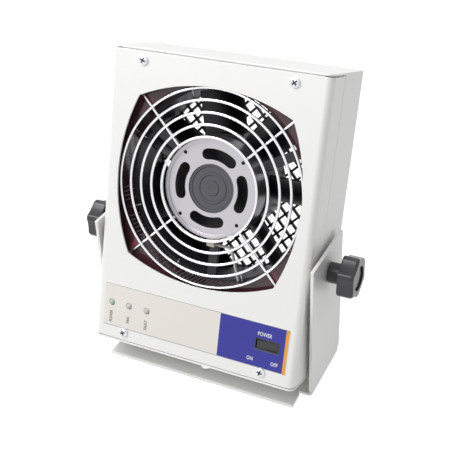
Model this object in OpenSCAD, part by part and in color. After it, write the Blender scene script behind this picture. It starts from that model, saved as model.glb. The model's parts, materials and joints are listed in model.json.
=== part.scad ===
// Benchtop ionizing blower: a sheet-metal head with an axial fan and a ring of
// emitter needles, carried between the arms of a U-shaped stand by two knobs.
// Stand frame: origin on the floor below the tilt pivot, X right, Y back, Z up.
// Head frame: origin at the middle of the front face's lower edge, same directions,
// leaned back about the pivot by tilt_angle.

/* [Head casing] */
// Width of the head
head_w = 135; // [134:0.5:140]
// Height of the head
head_h = 182; // [181:0.5:190]
// Depth of the head, front face to back panel
head_d = 55; // [54:0.5:60]
// Thickness of the casing sheet
sheet_t = 1.2; // [1:0.1:1.4]
// Outside radius of the bends at the front edges
front_bend_r = 4; // [3:0.5:5]
// Outside radius of the bends at the back edges
back_bend_r = 2.5; // [2:0.1:3]
// Depth of the front cover's side flanges
cover_flange = 20; // [17:0.5:24]
// Width of the seams between the casing's sheets
seam_gap = 0.45; // [0.3:0.05:0.6]
// Overlap of the seam strip behind the side seam
seam_lap = 6; // [4:0.5:8]
// Height of the lips that take the cover screws
lip_h = 11.5; // [11:0.5:12.5]
// Distance between the left and right cover screws
screw_span = 93.2; // [88:0.2:98]
// Distance of the cover screws from the top and bottom edges
screw_edge = 6.9; // [6.6:0.1:7.2]

/* [Stand] */
// Height of the tilt pivot above the floor
pivot_h = 77; // [76.5:0.5:90]
// Height of the pivot above the head's lower edge
pivot_up = 67.5; // [62:0.5:68]
// Lean of the head at rest, in degrees
tilt_angle = 18.3; // [0:0.1:30]
// Thickness of the stand's plate
stand_t = 2; // [1.5:0.1:2.4]
// Outside radius of the bend between the base and an arm
stand_bend_r = 3.5; // [3:0.1:5]
// Gap between the head and an arm
arm_gap = 2; // [1.6:0.1:3]
// Depth of an arm, front to back
arm_depth = 48; // [36:0.5:60]
// Height of an arm above the pivot
arm_rise = 16; // [10:0.5:24]
// Depth of the base plate
base_depth = 71.5; // [64:0.5:100]
// Width of the base plate in front of and behind the arms
base_w = 127.4; // [110:0.2:132]
// How far the arms and the base stand forward of the pivot
stand_shift = 2.3; // [0:0.1:6]
// Depth of the bend relief beside an arm
relief = 2; // [1:0.1:4]
// Diameter of the bench holes in the base
bench_hole_d = 6.4; // [4:0.1:9]
// Distance between the bench holes
bench_hole_span = 47.4; // [30:0.2:56]

/* [Clamp knobs] */
// Largest diameter of a knob's head
knob_d = 28; // [24:0.5:34]
// Thickness of a knob's head
knob_t = 10; // [8:0.5:14]
// Number of lobes on a knob
knob_lobes = 6; // [5:1:8]
// Depth of the hollows between the lobes
knob_hollow = 1.6; // [1:0.1:2.2]
// Diameter of a knob's neck
neck_d = 12.4; // [10:0.2:15]
// Length of a knob's neck
neck_len = 7.6; // [5:0.2:12]
// Diameter of the cap in a knob's face
knob_cap_d = 15; // [12:0.5:18]
// Diameter of the clamp stud
stud_d = 6; // [5:0.5:6]
// Thickness of the friction washer
washer_t = 1.8; // [1.2:0.1:1.8]
// Diameter of the friction washer
washer_d = 19; // [14:0.5:24]
// Thickness of the pivot nut
pivot_nut_t = 4.6; // [4:0.1:5]

/* [Fan] */
// Width and height of the fan's frame
fan_w = 119; // [118:0.2:120]
// Height of the fan's axis above the head's lower edge
fan_up = 106.9; // [106:0.1:108]
// Distance between the fan's mounting holes
fan_hole_span = 104.8; // [104:0.1:106]
// Diameter of the fan's mounting bolts
bolt_d = 4; // [3.5:0.1:4.2]
// Thickness of the fan's flanges
fan_flange_t = 4; // [3:0.2:6]
// Inside diameter of the fan's duct
fan_duct_d = 115; // [113:0.2:115.6]
// Wall of the fan's duct
fan_duct_wall = 1.6; // [1.2:0.1:1.8]
// Gap between the blade tips and the duct
tip_gap = 0.8; // [0.5:0.1:1.5]
// Number of blades
blade_count = 7; // [5:1:9]
// Thickness of a blade
blade_t = 1.6; // [1.2:0.1:2.2]
// Pitch of the blades, in degrees
blade_pitch = 42; // [36:1:48]
// Radius of a blade's curve
blade_curve_r = 34; // [28:1:44]
// Width of the struts that carry the motor
strut_w = 6; // [4:0.5:8]
// Thickness of the struts and of the motor plate
strut_t = 2.6; // [2:0.1:3]

/* [Motor] */
// Diameter of the motor housing
motor_d = 59; // [56:0.5:60]
// Front of the motor housing, behind the front face
motor_front = 6.3; // [6:0.1:7]
// Height of the raised rim round the motor's face
motor_rim_h = 1; // [0.6:0.1:1.4]
// Wall of the motor housing
motor_wall = 1.6; // [1.2:0.1:2]
// Inside radius of the cooling slots
slot_inner_r = 17; // [16.4:0.1:18]
// Outside radius of the cooling slots
slot_outer_r = 23.5; // [22:0.1:25]
// Angle that a cooling slot spans between its end centres
slot_span = 46; // [36:1:54]
// Diameter of the opening in the middle of the motor's face
motor_eye_d = 29; // [27:0.5:30]
// Outside diameter of the bearings
bearing_d = 11; // [10:0.5:12]
// Width of the bearings
bearing_w = 4; // [3:0.5:5]
// Diameter of the rotor's shaft
shaft_d = 4; // [3:0.5:4]
// Wall of the bearing tube
tube_wall = 1.5; // [1.2:0.1:2]
// Number of stator teeth
tooth_count = 6; // [4:1:8]
// Outside diameter of the impeller's hub
hub_d = 60; // [59:0.5:61]
// Thickness of the rotor's magnet ring
magnet_t = 2.3; // [1.8:0.1:2.6]

/* [Guard and emitters] */
// Half width of the mouth in the front face, at its middle
mouth_half = 58.8; // [58:0.1:59.4]
// Radius of the mouth's bowed sides
mouth_r = 112; // [100:1:130]
// Diameter of the guard's wire
wire_d = 1.8; // [1.6:0.1:2]
// Radius of the innermost guard ring
ring_first_r = 30.5; // [30:0.1:31]
// Step from one guard ring to the next
ring_step = 7; // [6.8:0.1:7.2]
// Number of guard rings
ring_count = 5; // [3:1:5]
// Place of the guard's rings behind the front face
guard_y = 3.5; // [3.2:0.1:3.6]
// Width and height of the emitter frame
emitter_w = 129; // [128:0.2:130]
// Front of the emitter frame behind the front face
emitter_front = 6; // [5.9:0.05:6.2]
// Depth of the emitter frame
emitter_depth = 14; // [13.5:0.1:14.5]
// Inside diameter of the emitter frame's duct
emitter_duct_d = 118; // [117:0.2:118.4]
// Number of emitter needles
needle_count = 8; // [4:1:12]
// Length of a needle inside the duct
needle_reach = 5; // [3:0.5:7]
// Diameter of a needle
needle_d = 1; // [0.8:0.1:1.2]
// Place of the needles behind the front face
needle_y = 16.4; // [15.8:0.1:16.6]
// Spacing of the bars in the rear guard's lattice
lattice_pitch = 6.3; // [5.6:0.1:8]
// Width of the bars in the rear guard's lattice
lattice_bar = 1.4; // [1.2:0.1:2]
// Diameter of the air inlet in the back panel
inlet_d = 114; // [110:0.5:115]

/* [Control panel] */
// Thickness of the control label
label_t = 0.25; // [0.2:0.05:0.4]
// Width of the control label
label_w = 123.6; // [122:0.2:124]
// Lower edge of the control label
label_low = 9.4; // [9.2:0.1:10]
// Height of the control label
label_h = 27.5; // [26:0.1:28.5]
// Height of the status lights' centres
led_up = 24.9; // [23:0.1:26]
// Diameter of a status light
led_d = 3.8; // [3:0.1:5]
// Place of the switch's centre to the right of the middle
switch_x = 48.7; // [46:0.1:49]
// Height of the switch's centre
switch_up = 23.95; // [23:0.05:25]
// Width of the switch's window
switch_w = 15.6; // [15:0.1:16.4]
// Height of the switch's window
switch_h = 7.3; // [7:0.1:8]
// Depth of the switch's body behind the casing
switch_depth = 16; // [12:0.5:18]
// Travel of the rocker, in degrees
rocker_travel = 20; // [14:1:20]

/* [Power and high voltage] */
// Width of the control board
board_w = 60; // [56:0.5:62]
// Height of the control board
board_h = 28; // [26:0.5:29]
// Thickness of the control board
board_t = 1.6; // [1.2:0.1:2]
// Space between the front face's sheet and the control board
board_gap = 7.8; // [7:0.1:9]
// Space between the control board and the emitter frame above it
board_clear = 0.9; // [0.3:0.1:3]
// Width of the high-voltage module
hv_w = 50; // [46:0.5:50]
// Depth of the high-voltage module
hv_d = 22; // [18:0.5:23]
// Height of the high-voltage module
hv_h = 28; // [24:0.5:30]
// Diameter of the power jack's bushing
jack_d = 11; // [10:0.5:12]
// Diameter of the ground socket's bore
ground_bore_d = 4; // [3.8:0.1:4.2]
// Diameter of the ion balance dial
dial_d = 7; // [6:0.5:8]
// Depth of the ion balance trimmer
trimmer_depth = 7; // [6:0.5:8]

/* [Hidden] */
$fn = 64;

// Clearances
run_fit = 0.05;
seat_fit = 0.02;
hole_fit = 0.2;
part_gap = 0.3;

// Casing
inner_x = head_w / 2 - sheet_t;
back_in = head_d - sheet_t;
face_low = sheet_t + seam_gap;
face_high = head_h - sheet_t - seam_gap;
pivot_in = head_d / 2;
screw_levels = [screw_edge, head_h - screw_edge];
cover_screw_d = 3.5;
cover_head_d = 5.8;
cover_head_h = 1.9;
cover_nut_t = 2.8;
cover_nut_af = 6;

// Stand
arm_in = head_w / 2 + arm_gap;
arm_out = arm_in + stand_t;
arm_front = -arm_depth / 2 - stand_shift;
base_front = -base_depth / 2 - stand_shift;

// Knobs
neck_in = arm_out + part_gap;
head_in = neck_in + neck_len;
head_out = head_in + knob_t;
stud_grip = 3.6;
stud_in = inner_x - sheet_t - pivot_nut_t;
pivot_nut_af = 10;

// Depth stack of the air path, front to back
emitter_back = emitter_front + emitter_depth;
rear_guard_t = 1.8;
fan_front = emitter_back;
fan_back = back_in - rear_guard_t;
plate_back = fan_front + strut_t;
spoke_y = emitter_front - wire_d / 2 - 0.1;
bolt_places = [for (x = [-1, 1], z = [-1, 1]) [x, z] * fan_hole_span / 2];
bolt_head_h = 2.4;
bolt_head_d = 7.2;
bolt_nut_t = 3.2;
bolt_nut_af = 7;
bolt_tip = head_d + bolt_nut_t + 0.8;

// Rotor
hub_front = plate_back + 1.4;
hub_back = fan_back - 2.4;
hub_cap_t = 2.2;
hub_wall = 2.2;
blade_tip_r = fan_duct_d / 2 - tip_gap;
magnet_out_r = hub_d / 2 - hub_wall - seat_fit;
magnet_in_r = magnet_out_r - magnet_t;
stator_r = magnet_in_r - 0.6;
tube_r = bearing_d / 2 + seat_fit + tube_wall;
tube_front = motor_front + motor_rim_h + motor_wall;
tube_flange_t = 2;
tube_back = hub_back - hub_cap_t - 4;
boss_d = 9;
boss_front = tube_back + 0.6;
stator_front = plate_back + 5;
stator_len = 10;
coil_over = 3;
tooth_w = 5;
coil_t = 2.2;
shoe_t = 1.8;
block_w = 5.2;
block_h = 6.6;
block_depth = 6;
motor_lead_d = 1.3;

// Emitters
socket_d = 3.2;
duct_wall = 4.2;
ring_groove_r = emitter_duct_d / 2 + 2.6;
needle_angles = [for (i = [0:needle_count - 1]) (i + 0.5) * 360 / needle_count];

// Controls
led_places = [-56.4, -44.2, -31.6];
board_left = -62;
board_low = fan_up - emitter_w / 2 - board_clear - board_h;
board_front = sheet_t + board_gap;
board_back = board_front + board_t;
board_hole_in = 3.4;
board_hole_low = 5;
board_hole_d = 3.4;
board_screw_d = 3;
board_screw_len = 5;
board_screw_head_d = 5.2;
board_screw_head_h = 1.6;
standoff_af = 5;
standoff_pilot_d = 2.4;
standoff_pilot = 0.4;
lead_half_span = 1.27;
led_lead_w = 0.5;
led_body = 5;
led_proud = 0.6;
board_corners = [for (x = [board_left + board_hole_in, board_left + board_w - board_hole_in],
                      z = [board_low + board_hole_low, board_low + board_h - board_hole_in]) [x, z]];
cap_d = 7.6;
cap_step = 9.5;
cap_first_x = board_left + 12;
cap_up = 20;
small_cap = [3.2, 4, 5];
small_cap_step = 5;
small_cap_x = board_left + 33;
chip = [14, 3, 7];
chip_x = board_left + 12;
relay_w = 10;
relay_x = board_left + 43;
relay_up = 11;
part_up = 4;
switch_wall = 0.85;
rocker_half = switch_w / 2 - 1.5;
rocker_y = 2.2;
rocker_pin_r = 0.8;
hv_left = -57;
hv_behind = 1.8;
hv_front = back_in - trimmer_depth - hv_behind - hv_d;
cap_clear = 2.4;
relay_clear = 4.4;
hv_foot_t = 2;
hv_foot_w = 7.4;
hv_foot_in = 4;
hv_hole_d = 3.4;
hv_screw_d = 3;
hv_screw_head_d = 5.6;
hv_nut_af = 5.5;
hv_nut_t = 2.2;
hv_gland_in = 10;
hv_gland_d = 7;
hv_gland_h = 4;
hv_lead_d = 3.2;
hv_screw_xs = [hv_left - hv_foot_w / 2, hv_left + hv_w + hv_foot_w / 2];
choke_x = 14;
choke_y = 34;
choke_d = 22;
choke_bore = 11;
choke_t = 8;
choke_lift = 1.6;
choke_wire_t = 1.55;
choke_wire_w = 2.4;
jack_x = 40;
jack_up = 20;
ground_x = 18;
ground_body_d = 9;
dial_x = -22;
dial_up = 20;
trimmer_wall = 2.5;
dial_pin_d = 2.4;
dial_slot_w = 1;
jack_flange_t = 2;
jack_in = 12;
jack_bore_d = 5.7;
jack_pin_d = 2.5;
jack_nut_t = 1.4;
ground_in = 14;
ground_flange_t = 2.6;
ground_nut_t = 2.4;

// ---- shared shapes ----

// Puts its children, drawn in the head frame, where the leaned head stands
module in_head()
    translate([0, 0, pivot_h])
        rotate([-tilt_angle, 0, 0])
            translate([0, -pivot_in, -pivot_up]) children();

// A flat shape drawn in X and Z, with its front at y and its thickness t
module slab(y, t)
    translate([0, y + t, 0]) rotate([90, 0, 0]) linear_extrude(t) children();

// A round bar along Y
module bar_y(x, y, z, d, len)
    translate([x, y + len, z]) rotate([90, 0, 0]) cylinder(d = d, h = len);

// A hexagonal bar along Y, across-flats af
module hex_y(x, y, z, af, len)
    translate([x, y + len, z]) rotate([90, 0, 0]) cylinder(d = af / cos(30), h = len, $fn = 6);

// A flat ring in X and Z about the fan's axis
module fan_ring(y, t, outer_r, inner_r)
    slab(y, t) translate([0, fan_up]) difference() {
        circle(r = outer_r);
        circle(r = inner_r);
    }

// A rectangle in the X and Z plane about a centre
module centred_rect(w, h) square([w, h], center = true);

// Plan of the casing with round front and back corners
module casing_plan(w, d, front_r, back_r) {
    difference() {
        translate([-w / 2, 0]) square([w, d]);
        for (side = [-1, 1]) {
            corner_waste(side * w / 2, 0, side, 1, front_r);
            corner_waste(side * w / 2, d, side, -1, back_r);
        }
    }
}

// What a round corner takes off a square one
module corner_waste(x, y, side_x, side_y, r)
    difference() {
        translate([x - side_x * r / 2, y + side_y * r / 2]) square([r, r], center = true);
        translate([x - side_x * r, y + side_y * r]) circle(r = r);
    }

// The mouth in the front face: a square with bowed sides
module mouth_shape()
    translate([0, fan_up])
        intersection_for(turn = [0, 90, 180, 270])
            rotate(turn) translate([mouth_half - mouth_r, 0]) circle(r = mouth_r, $fn = 128);

module bolt_holes()
    for (p = bolt_places) translate([p[0], p[1] + fan_up]) circle(d = bolt_d + 2 * hole_fit);

// A pan-head screw along Y: its head in front of y, its shank behind
module pan_screw(x, y, z, d, len, head_d, head_h) {
    bar_y(x, y, z, d, len);
    translate([x, y, z]) rotate([90, 0, 0]) difference() {
        union() {
            cylinder(d = head_d, h = head_h * 0.55);
            translate([0, 0, head_h * 0.55]) cylinder(d1 = head_d, d2 = head_d * 0.62, h = head_h * 0.45);
        }
        for (turn = [0, 90]) rotate(turn)
            translate([0, 0, head_h]) cube([head_d * 0.52, head_d * 0.12, head_h], center = true);
    }
}

// ---- stand ----

module bracket() color("whitesmoke") {
    arm_turn = stand_bend_r - stand_t;
    difference() {
        union() {
            translate([-arm_out + stand_bend_r, arm_front, 0])
                cube([2 * (arm_out - stand_bend_r), arm_depth, stand_t]);
            translate([-base_w / 2, base_front, 0]) cube([base_w, base_depth, stand_t]);
            for (side = [-1, 1]) scale_side(side) {
                translate([arm_in, arm_front, stand_bend_r])
                    cube([stand_t, arm_depth, pivot_h + arm_rise - stand_bend_r]);
                translate([arm_out - stand_bend_r, arm_front, stand_bend_r]) rotate([-90, 0, 0])
                    linear_extrude(arm_depth) difference() {
                        circle(r = stand_bend_r);
                        circle(r = arm_turn);
                        translate([-2 * stand_bend_r, -2 * stand_bend_r])
                            square([2 * stand_bend_r, 4 * stand_bend_r]);
                        translate([-2 * stand_bend_r, -2 * stand_bend_r])
                            square([4 * stand_bend_r, 2 * stand_bend_r]);
                    }
            }
        }
        for (end = [0, 1], side = [-1, 1]) scale_side(side)
            translate([base_w / 2 - 1, arm_front + end * (arm_depth - relief), -1])
                cube([arm_out, relief, stand_t + stand_bend_r + 1]);
        for (end = [-1, 1])
            translate([0, end * bench_hole_span / 2 - stand_shift, -1])
                cylinder(d = bench_hole_d, h = stand_t + 2);
        translate([-arm_out - 1, 0, pivot_h]) rotate([0, 90, 0])
            cylinder(d = stud_d + 2 * part_gap, h = 2 * arm_out + 2);
    }
}

// Mirrors its children to the left where side is -1
module scale_side(side)
    if (side > 0) children();
    else mirror([1, 0, 0]) children();

// ---- casing ----

module front_cover() color("ivory") in_head()
    difference() {
        translate([0, 0, face_low]) linear_extrude(face_high - face_low) difference() {
            intersection() {
                casing_plan(head_w, head_d, front_bend_r, back_bend_r);
                translate([-head_w, 0]) square([2 * head_w, cover_flange]);
            }
            translate([0, sheet_t]) intersection() {
                casing_plan(head_w - 2 * sheet_t, head_d, front_bend_r - sheet_t, back_bend_r);
                translate([-head_w, 0]) square([2 * head_w, head_d]);
            }
        }
        slab(-1, sheet_t + 2) mouth_shape();
        slab(-1, sheet_t + 2) switch_window(0);
        for (x = led_places) bar_y(x, -1, led_up, led_d + 2 * hole_fit, sheet_t + 2);
        for (side = [-1, 1], z = screw_levels)
            bar_y(side * screw_span / 2, -1, z, cover_screw_d + 2 * hole_fit, sheet_t + 2);
        for (p = board_corners) bar_y(p[0], sheet_t - standoff_pilot, p[1], standoff_pilot_d, 1);
    }

module switch_window(margin)
    translate([switch_x, switch_up])
        centred_rect(switch_w + 2 * margin, switch_h + 2 * margin);

module rear_chassis() color("ivory") in_head() {
    wall_front = cover_flange + seam_gap;
    difference() {
        union() {
            // top and bottom plates
            for (z = [0, head_h - sheet_t])
                translate([0, 0, z]) linear_extrude(sheet_t)
                    casing_plan(head_w, head_d, front_bend_r, back_bend_r);
            // side walls and back panel
            translate([0, 0, sheet_t]) linear_extrude(head_h - 2 * sheet_t) difference() {
                casing_plan(head_w, head_d, front_bend_r, back_bend_r);
                translate([-head_w, -1]) square([2 * head_w, wall_front + 1]);
                translate([-inner_x, 0]) square([2 * inner_x, back_in]);
            }
            // strips behind the side seams
            for (side = [-1, 1]) scale_side(side)
                translate([inner_x - sheet_t, cover_flange - seam_lap, sheet_t])
                    cube([sheet_t - 0.1, 2 * seam_lap, head_h - 2 * sheet_t]);
            for (side = [-1, 1]) scale_side(side)
                translate([inner_x - sheet_t, wall_front, sheet_t])
                    cube([sheet_t + 0.1, seam_lap, head_h - 2 * sheet_t]);
            // lips behind the front cover
            for (z = [sheet_t, head_h - lip_h])
                translate([-inner_x + front_bend_r, sheet_t, z])
                    cube([2 * (inner_x - front_bend_r), sheet_t, lip_h - sheet_t]);
        }
        slab(back_in - 1, sheet_t + 2) translate([0, fan_up]) circle(d = inlet_d);
        slab(back_in - 1, sheet_t + 2) bolt_holes();
        for (side = [-1, 1], z = screw_levels)
            bar_y(side * screw_span / 2, 0, z, cover_screw_d + 2 * hole_fit, 3 * sheet_t);
        for (side = [-1, 1]) scale_side(side)
            translate([inner_x - 2 * sheet_t, pivot_in, pivot_up]) rotate([0, 90, 0])
                cylinder(d = stud_d + 2 * part_gap, h = 4 * sheet_t);
        bar_y(jack_x, back_in - 1, jack_up, jack_d + 2 * hole_fit, sheet_t + 2);
        bar_y(ground_x, back_in - 1, jack_up, ground_body_d + 2 * hole_fit, sheet_t + 2);
        bar_y(dial_x, back_in - 1, dial_up, dial_d + 2 * part_gap, sheet_t + 2);
        for (x = hv_screw_xs)
            translate([x, hv_front + hv_d / 2, -1]) cylinder(d = hv_hole_d, h = sheet_t + 2);
    }
}

module control_label() color("linen") in_head()
    slab(-label_t, label_t) difference() {
        translate([-label_w / 2, label_low]) square([label_w, label_h]);
        switch_window(0);
        for (x = led_places) translate([x, led_up]) circle(d = led_d + 2 * hole_fit);
        for (side = [-1, 1]) translate([side * screw_span / 2, screw_edge])
            circle(d = cover_head_d + 2 * hole_fit);
    }

module cover_screws() color("silver") in_head()
    for (side = [-1, 1], z = screw_levels)
        pan_screw(side * screw_span / 2, 0, z, cover_screw_d, 8, cover_head_d, cover_head_h);

module cover_nuts() color("gray") in_head()
    for (side = [-1, 1], z = screw_levels) difference() {
        hex_y(side * screw_span / 2, 2 * sheet_t, z, cover_nut_af, cover_nut_t);
        bar_y(side * screw_span / 2, 0, z, cover_screw_d + 2 * seat_fit, 10);
    }

// ---- control panel ----

// A status light: a domed body with a collar, standing off the control board
module status_light(x) {
    dome_y = led_proud - label_t;
    bar_y(x, dome_y, led_up, led_d, led_body);
    translate([x, dome_y, led_up]) sphere(d = led_d);
    bar_y(x, sheet_t + 1, led_up, led_d + 1, 1);
}

module power_led() color("palegreen") in_head() status_light(led_places[0]);
module fan_led() color("lightgray") in_head() status_light(led_places[1]);
module fault_led() color("lightgray") in_head() status_light(led_places[2]);

module led_leads() color("silver") in_head()
    for (x = led_places, side = [-1, 1])
        translate([x + side * lead_half_span - led_lead_w / 2, led_body + led_proud - label_t,
                   led_up - led_lead_w / 2])
            cube([led_lead_w, board_back - led_body + 0.2, led_lead_w]);

module control_board() color("seagreen") in_head()
    slab(board_front, board_t) difference() {
        translate([board_left, board_low]) square([board_w, board_h]);
        for (p = board_corners) translate(p) circle(d = board_hole_d);
        for (x = led_places, side = [-1, 1])
            translate([x + side * lead_half_span, led_up]) centred_rect(led_lead_w + 0.1, led_lead_w + 0.1);
    }

module board_standoffs() color("goldenrod") in_head()
    for (p = board_corners) difference() {
        union() {
            hex_y(p[0], sheet_t, p[1], standoff_af, board_gap);
            bar_y(p[0], sheet_t - standoff_pilot, p[1], standoff_pilot_d - 2 * seat_fit, 2 * standoff_pilot);
        }
        bar_y(p[0], sheet_t + 1.2, p[1], board_screw_d + 2 * seat_fit, board_gap);
    }

module board_screws() color("silver") in_head()
    for (p = board_corners)
        translate([0, board_back, 0]) mirror([0, 1, 0])
            pan_screw(p[0], 0, p[1], board_screw_d, board_screw_len, board_screw_head_d, board_screw_head_h);

module board_capacitors() color("midnightblue") in_head() {
    for (i = [0:2])
        bar_y(cap_first_x + i * cap_step, board_back, board_low + cap_up,
              cap_d, hv_front - board_back - cap_clear);
    for (i = [0:3])
        translate([small_cap_x + i * small_cap_step, board_back, board_low + part_up]) cube(small_cap);
}

module board_chips() color("dimgray") in_head() {
    translate([chip_x, board_back, board_low + part_up]) cube(chip);
    translate([relay_x, board_back, board_low + relay_up])
        cube([relay_w, hv_front - board_back - relay_clear, relay_w]);
}

module switch_body() color("black") in_head() {
    mouth_low = switch_up - switch_h / 2;
    difference() {
        union() {
            slab(-label_t, sheet_t + label_t) switch_window(-seat_fit);
            slab(sheet_t, switch_depth) switch_window(1.4);
        }
        slab(-1, 8) switch_window(-switch_wall);
        translate([switch_x, rocker_y, mouth_low - 1])
            cylinder(r = rocker_pin_r + run_fit, h = switch_h + 2);
    }
}

module switch_terminals() color("gold") in_head()
    for (i = [-1, 1])
        translate([switch_x + i * 4.5 - 0.4, sheet_t + switch_depth, switch_up - 2.4])
            cube([0.8, 7, 4.8]);

// A rocker with a hollow face and a keel, pressed in on its OFF side
module switch_rocker() color("black") in_head()
    translate([switch_x, rocker_y, switch_up]) rotate([0, 0, rocker_travel / 2]) {
        rocker_h = switch_h - 2 * switch_wall - 2 * part_gap;
        translate([0, 0, -rocker_h / 2]) linear_extrude(rocker_h)
            polygon([[-rocker_half, -2.6], [0, -1.9], [rocker_half, -2.6],
                     [rocker_half, 0.2], [0, 2.2], [-rocker_half, 0.2]]);
        translate([0, 0, -switch_h / 2 + 0.25]) cylinder(r = rocker_pin_r, h = switch_h - 0.5);
    }

// ---- power and high voltage ----

module hv_module() color("darkslategray") in_head()
    difference() {
        union() {
            translate([hv_left, hv_front, sheet_t]) cube([hv_w, hv_d, hv_h]);
            translate([hv_left - hv_foot_w, hv_front + hv_foot_in, sheet_t])
                cube([hv_w + 2 * hv_foot_w, hv_d - 2 * hv_foot_in, hv_foot_t]);
            translate([hv_left + hv_w - hv_gland_in, hv_front + hv_d / 2, sheet_t + hv_h])
                cylinder(d = hv_gland_d, h = hv_gland_h);
        }
        for (x = hv_screw_xs)
            translate([x, hv_front + hv_d / 2, 0]) cylinder(d = hv_hole_d, h = sheet_t + 2 * hv_foot_t);
        translate([hv_left + hv_w - hv_gland_in, hv_front + hv_d / 2, sheet_t + hv_h])
            cylinder(d = hv_lead_d + 2 * seat_fit, h = hv_gland_h + 1);
    }

module hv_screws() color("silver") in_head()
    for (x = hv_screw_xs) translate([x, hv_front + hv_d / 2, 0]) {
        cylinder(d = hv_screw_d, h = sheet_t + hv_foot_t + hv_nut_t + 0.2);
        translate([0, 0, -1]) cylinder(d = hv_screw_head_d, h = 1);
        translate([0, 0, sheet_t + hv_foot_t]) cylinder(d = hv_nut_af / cos(30), h = hv_nut_t, $fn = 6);
    }

// The high-voltage lead from the module's gland up into the emitter frame
module hv_lead() color("white") in_head() {
    lead_x = hv_left + hv_w - hv_gland_in;
    lead_y = hv_front + hv_d / 2;
    lead_z = sheet_t + hv_h;
    turn_z = lead_z + 2 * hv_gland_h;
    duct_out_r = emitter_duct_d / 2 + duct_wall;
    lead_top = fan_up - sqrt(duct_out_r * duct_out_r - lead_x * lead_x) - part_gap - 0.1;
    into_y = emitter_front + emitter_depth / 2 + 1;
    translate([lead_x, lead_y, lead_z]) cylinder(d = hv_lead_d, h = turn_z - lead_z);
    translate([lead_x, lead_y, turn_z]) sphere(d = hv_lead_d);
    bar_y(lead_x, into_y, turn_z, hv_lead_d, lead_y - into_y);
    translate([lead_x, into_y, turn_z]) sphere(d = hv_lead_d);
    translate([lead_x, into_y, turn_z]) cylinder(d = hv_lead_d, h = lead_top - turn_z);
}

module choke_ring()
    translate([0, 0, choke_lift]) difference() {
        cylinder(d = choke_d, h = choke_t);
        translate([0, 0, -1]) cylinder(d = choke_bore, h = choke_t + 2);
    }

module choke_core() color("darkolivegreen") in_head()
    translate([choke_x, choke_y, sheet_t]) choke_ring();

module choke_coil() color("chocolate") in_head()
    translate([choke_x, choke_y, sheet_t]) difference() {
        coil_h = choke_t + 2 * choke_lift;
        coil_out = choke_d / 2 + choke_wire_t;
        coil_in = choke_bore / 2 - choke_wire_t;
        union() for (turn = [0:30:330]) rotate(turn) translate([(coil_in + coil_out) / 2, 0, coil_h / 2])
            cube([coil_out - coil_in, choke_wire_w, coil_h], center = true);
        choke_ring();
        translate([0, 0, -1]) cylinder(r = coil_in - 0.15, h = coil_h + 3);
    }

module power_jack() color("black") in_head()
    difference() {
        union() {
            bar_y(jack_x, head_d - jack_in, jack_up, jack_d, jack_in + jack_nut_t + 0.2);
            bar_y(jack_x, back_in - jack_flange_t, jack_up, jack_d + 3, jack_flange_t);
        }
        bar_y(jack_x, head_d - jack_in + 4, jack_up, jack_bore_d, jack_in);
        bar_y(jack_x, head_d - jack_in + 1, jack_up, jack_pin_d, 4);
    }

module jack_pin() color("silver") in_head()
    bar_y(jack_x, head_d - jack_in + 1, jack_up, jack_pin_d - 2 * seat_fit, jack_in - 1.5);

module jack_nut() color("silver") in_head()
    difference() {
        hex_y(jack_x, head_d, jack_up, jack_d + 3, jack_nut_t);
        bar_y(jack_x, head_d - 1, jack_up, jack_d + 2 * seat_fit, jack_nut_t + 2);
    }

module ground_socket() color("green") in_head()
    difference() {
        union() {
            bar_y(ground_x, head_d - ground_in, jack_up, ground_body_d, ground_in);
            bar_y(ground_x, head_d, jack_up, ground_body_d + 3, ground_flange_t);
        }
        bar_y(ground_x, head_d - ground_in + 2, jack_up, ground_bore_d, ground_in + ground_flange_t);
    }

module ground_nut() color("gold") in_head()
    difference() {
        hex_y(ground_x, back_in - ground_nut_t, jack_up, ground_body_d + 2, ground_nut_t);
        bar_y(ground_x, back_in - 2 * ground_nut_t, jack_up, ground_body_d + 2 * seat_fit, 3 * ground_nut_t);
    }

module trimmer_body() color("royalblue") in_head()
    difference() {
        slab(back_in - trimmer_depth, trimmer_depth) translate([dial_x, dial_up])
            centred_rect(dial_d + 2 * trimmer_wall, dial_d + 2 * trimmer_wall);
        bar_y(dial_x, back_in - trimmer_depth + 2.5, dial_up, dial_d + 2 * part_gap, trimmer_depth);
        bar_y(dial_x, back_in - trimmer_depth + 1, dial_up, dial_pin_d + 2 * run_fit, 3);
    }

module balance_dial() color("white") in_head()
    difference() {
        union() {
            bar_y(dial_x, back_in - trimmer_depth + 2.8, dial_up, dial_d, sheet_t + trimmer_depth - 2.8);
            bar_y(dial_x, back_in - trimmer_depth + 1.2, dial_up, dial_pin_d, 2);
        }
        translate([dial_x, head_d, dial_up]) cube([dial_d + 1, 2, dial_slot_w], center = true);
    }

// ---- guard and emitters ----

module fan_guard() color("gainsboro") in_head() {
    eyelet_r = bolt_d / 2 + wire_d / 2 + 0.5;
    reach = fan_hole_span / 2 * sqrt(2) - eyelet_r;
    for (i = [0:ring_count - 1])
        translate([0, guard_y, fan_up]) rotate([90, 0, 0])
            rotate_extrude($fn = 96) translate([ring_first_r + i * ring_step, 0])
                circle(d = wire_d, $fn = 24);
    for (turn = [45:90:315]) translate([0, spoke_y, fan_up]) rotate([0, -turn, 0])
        translate([ring_first_r - wire_d / 2, 0, 0]) rotate([0, 90, 0])
            cylinder(d = wire_d, h = reach - ring_first_r + wire_d / 2 + 0.3, $fn = 24);
    for (p = bolt_places) translate([p[0], spoke_y, p[1] + fan_up]) rotate([90, 0, 0])
        rotate_extrude($fn = 48) translate([eyelet_r, 0]) circle(d = wire_d, $fn = 24);
}

module guard_bolts() color("silver") in_head()
    for (p = bolt_places)
        pan_screw(p[0], spoke_y - wire_d / 2, p[1] + fan_up, bolt_d,
                  bolt_tip - spoke_y + wire_d / 2, bolt_head_d, bolt_head_h);

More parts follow.
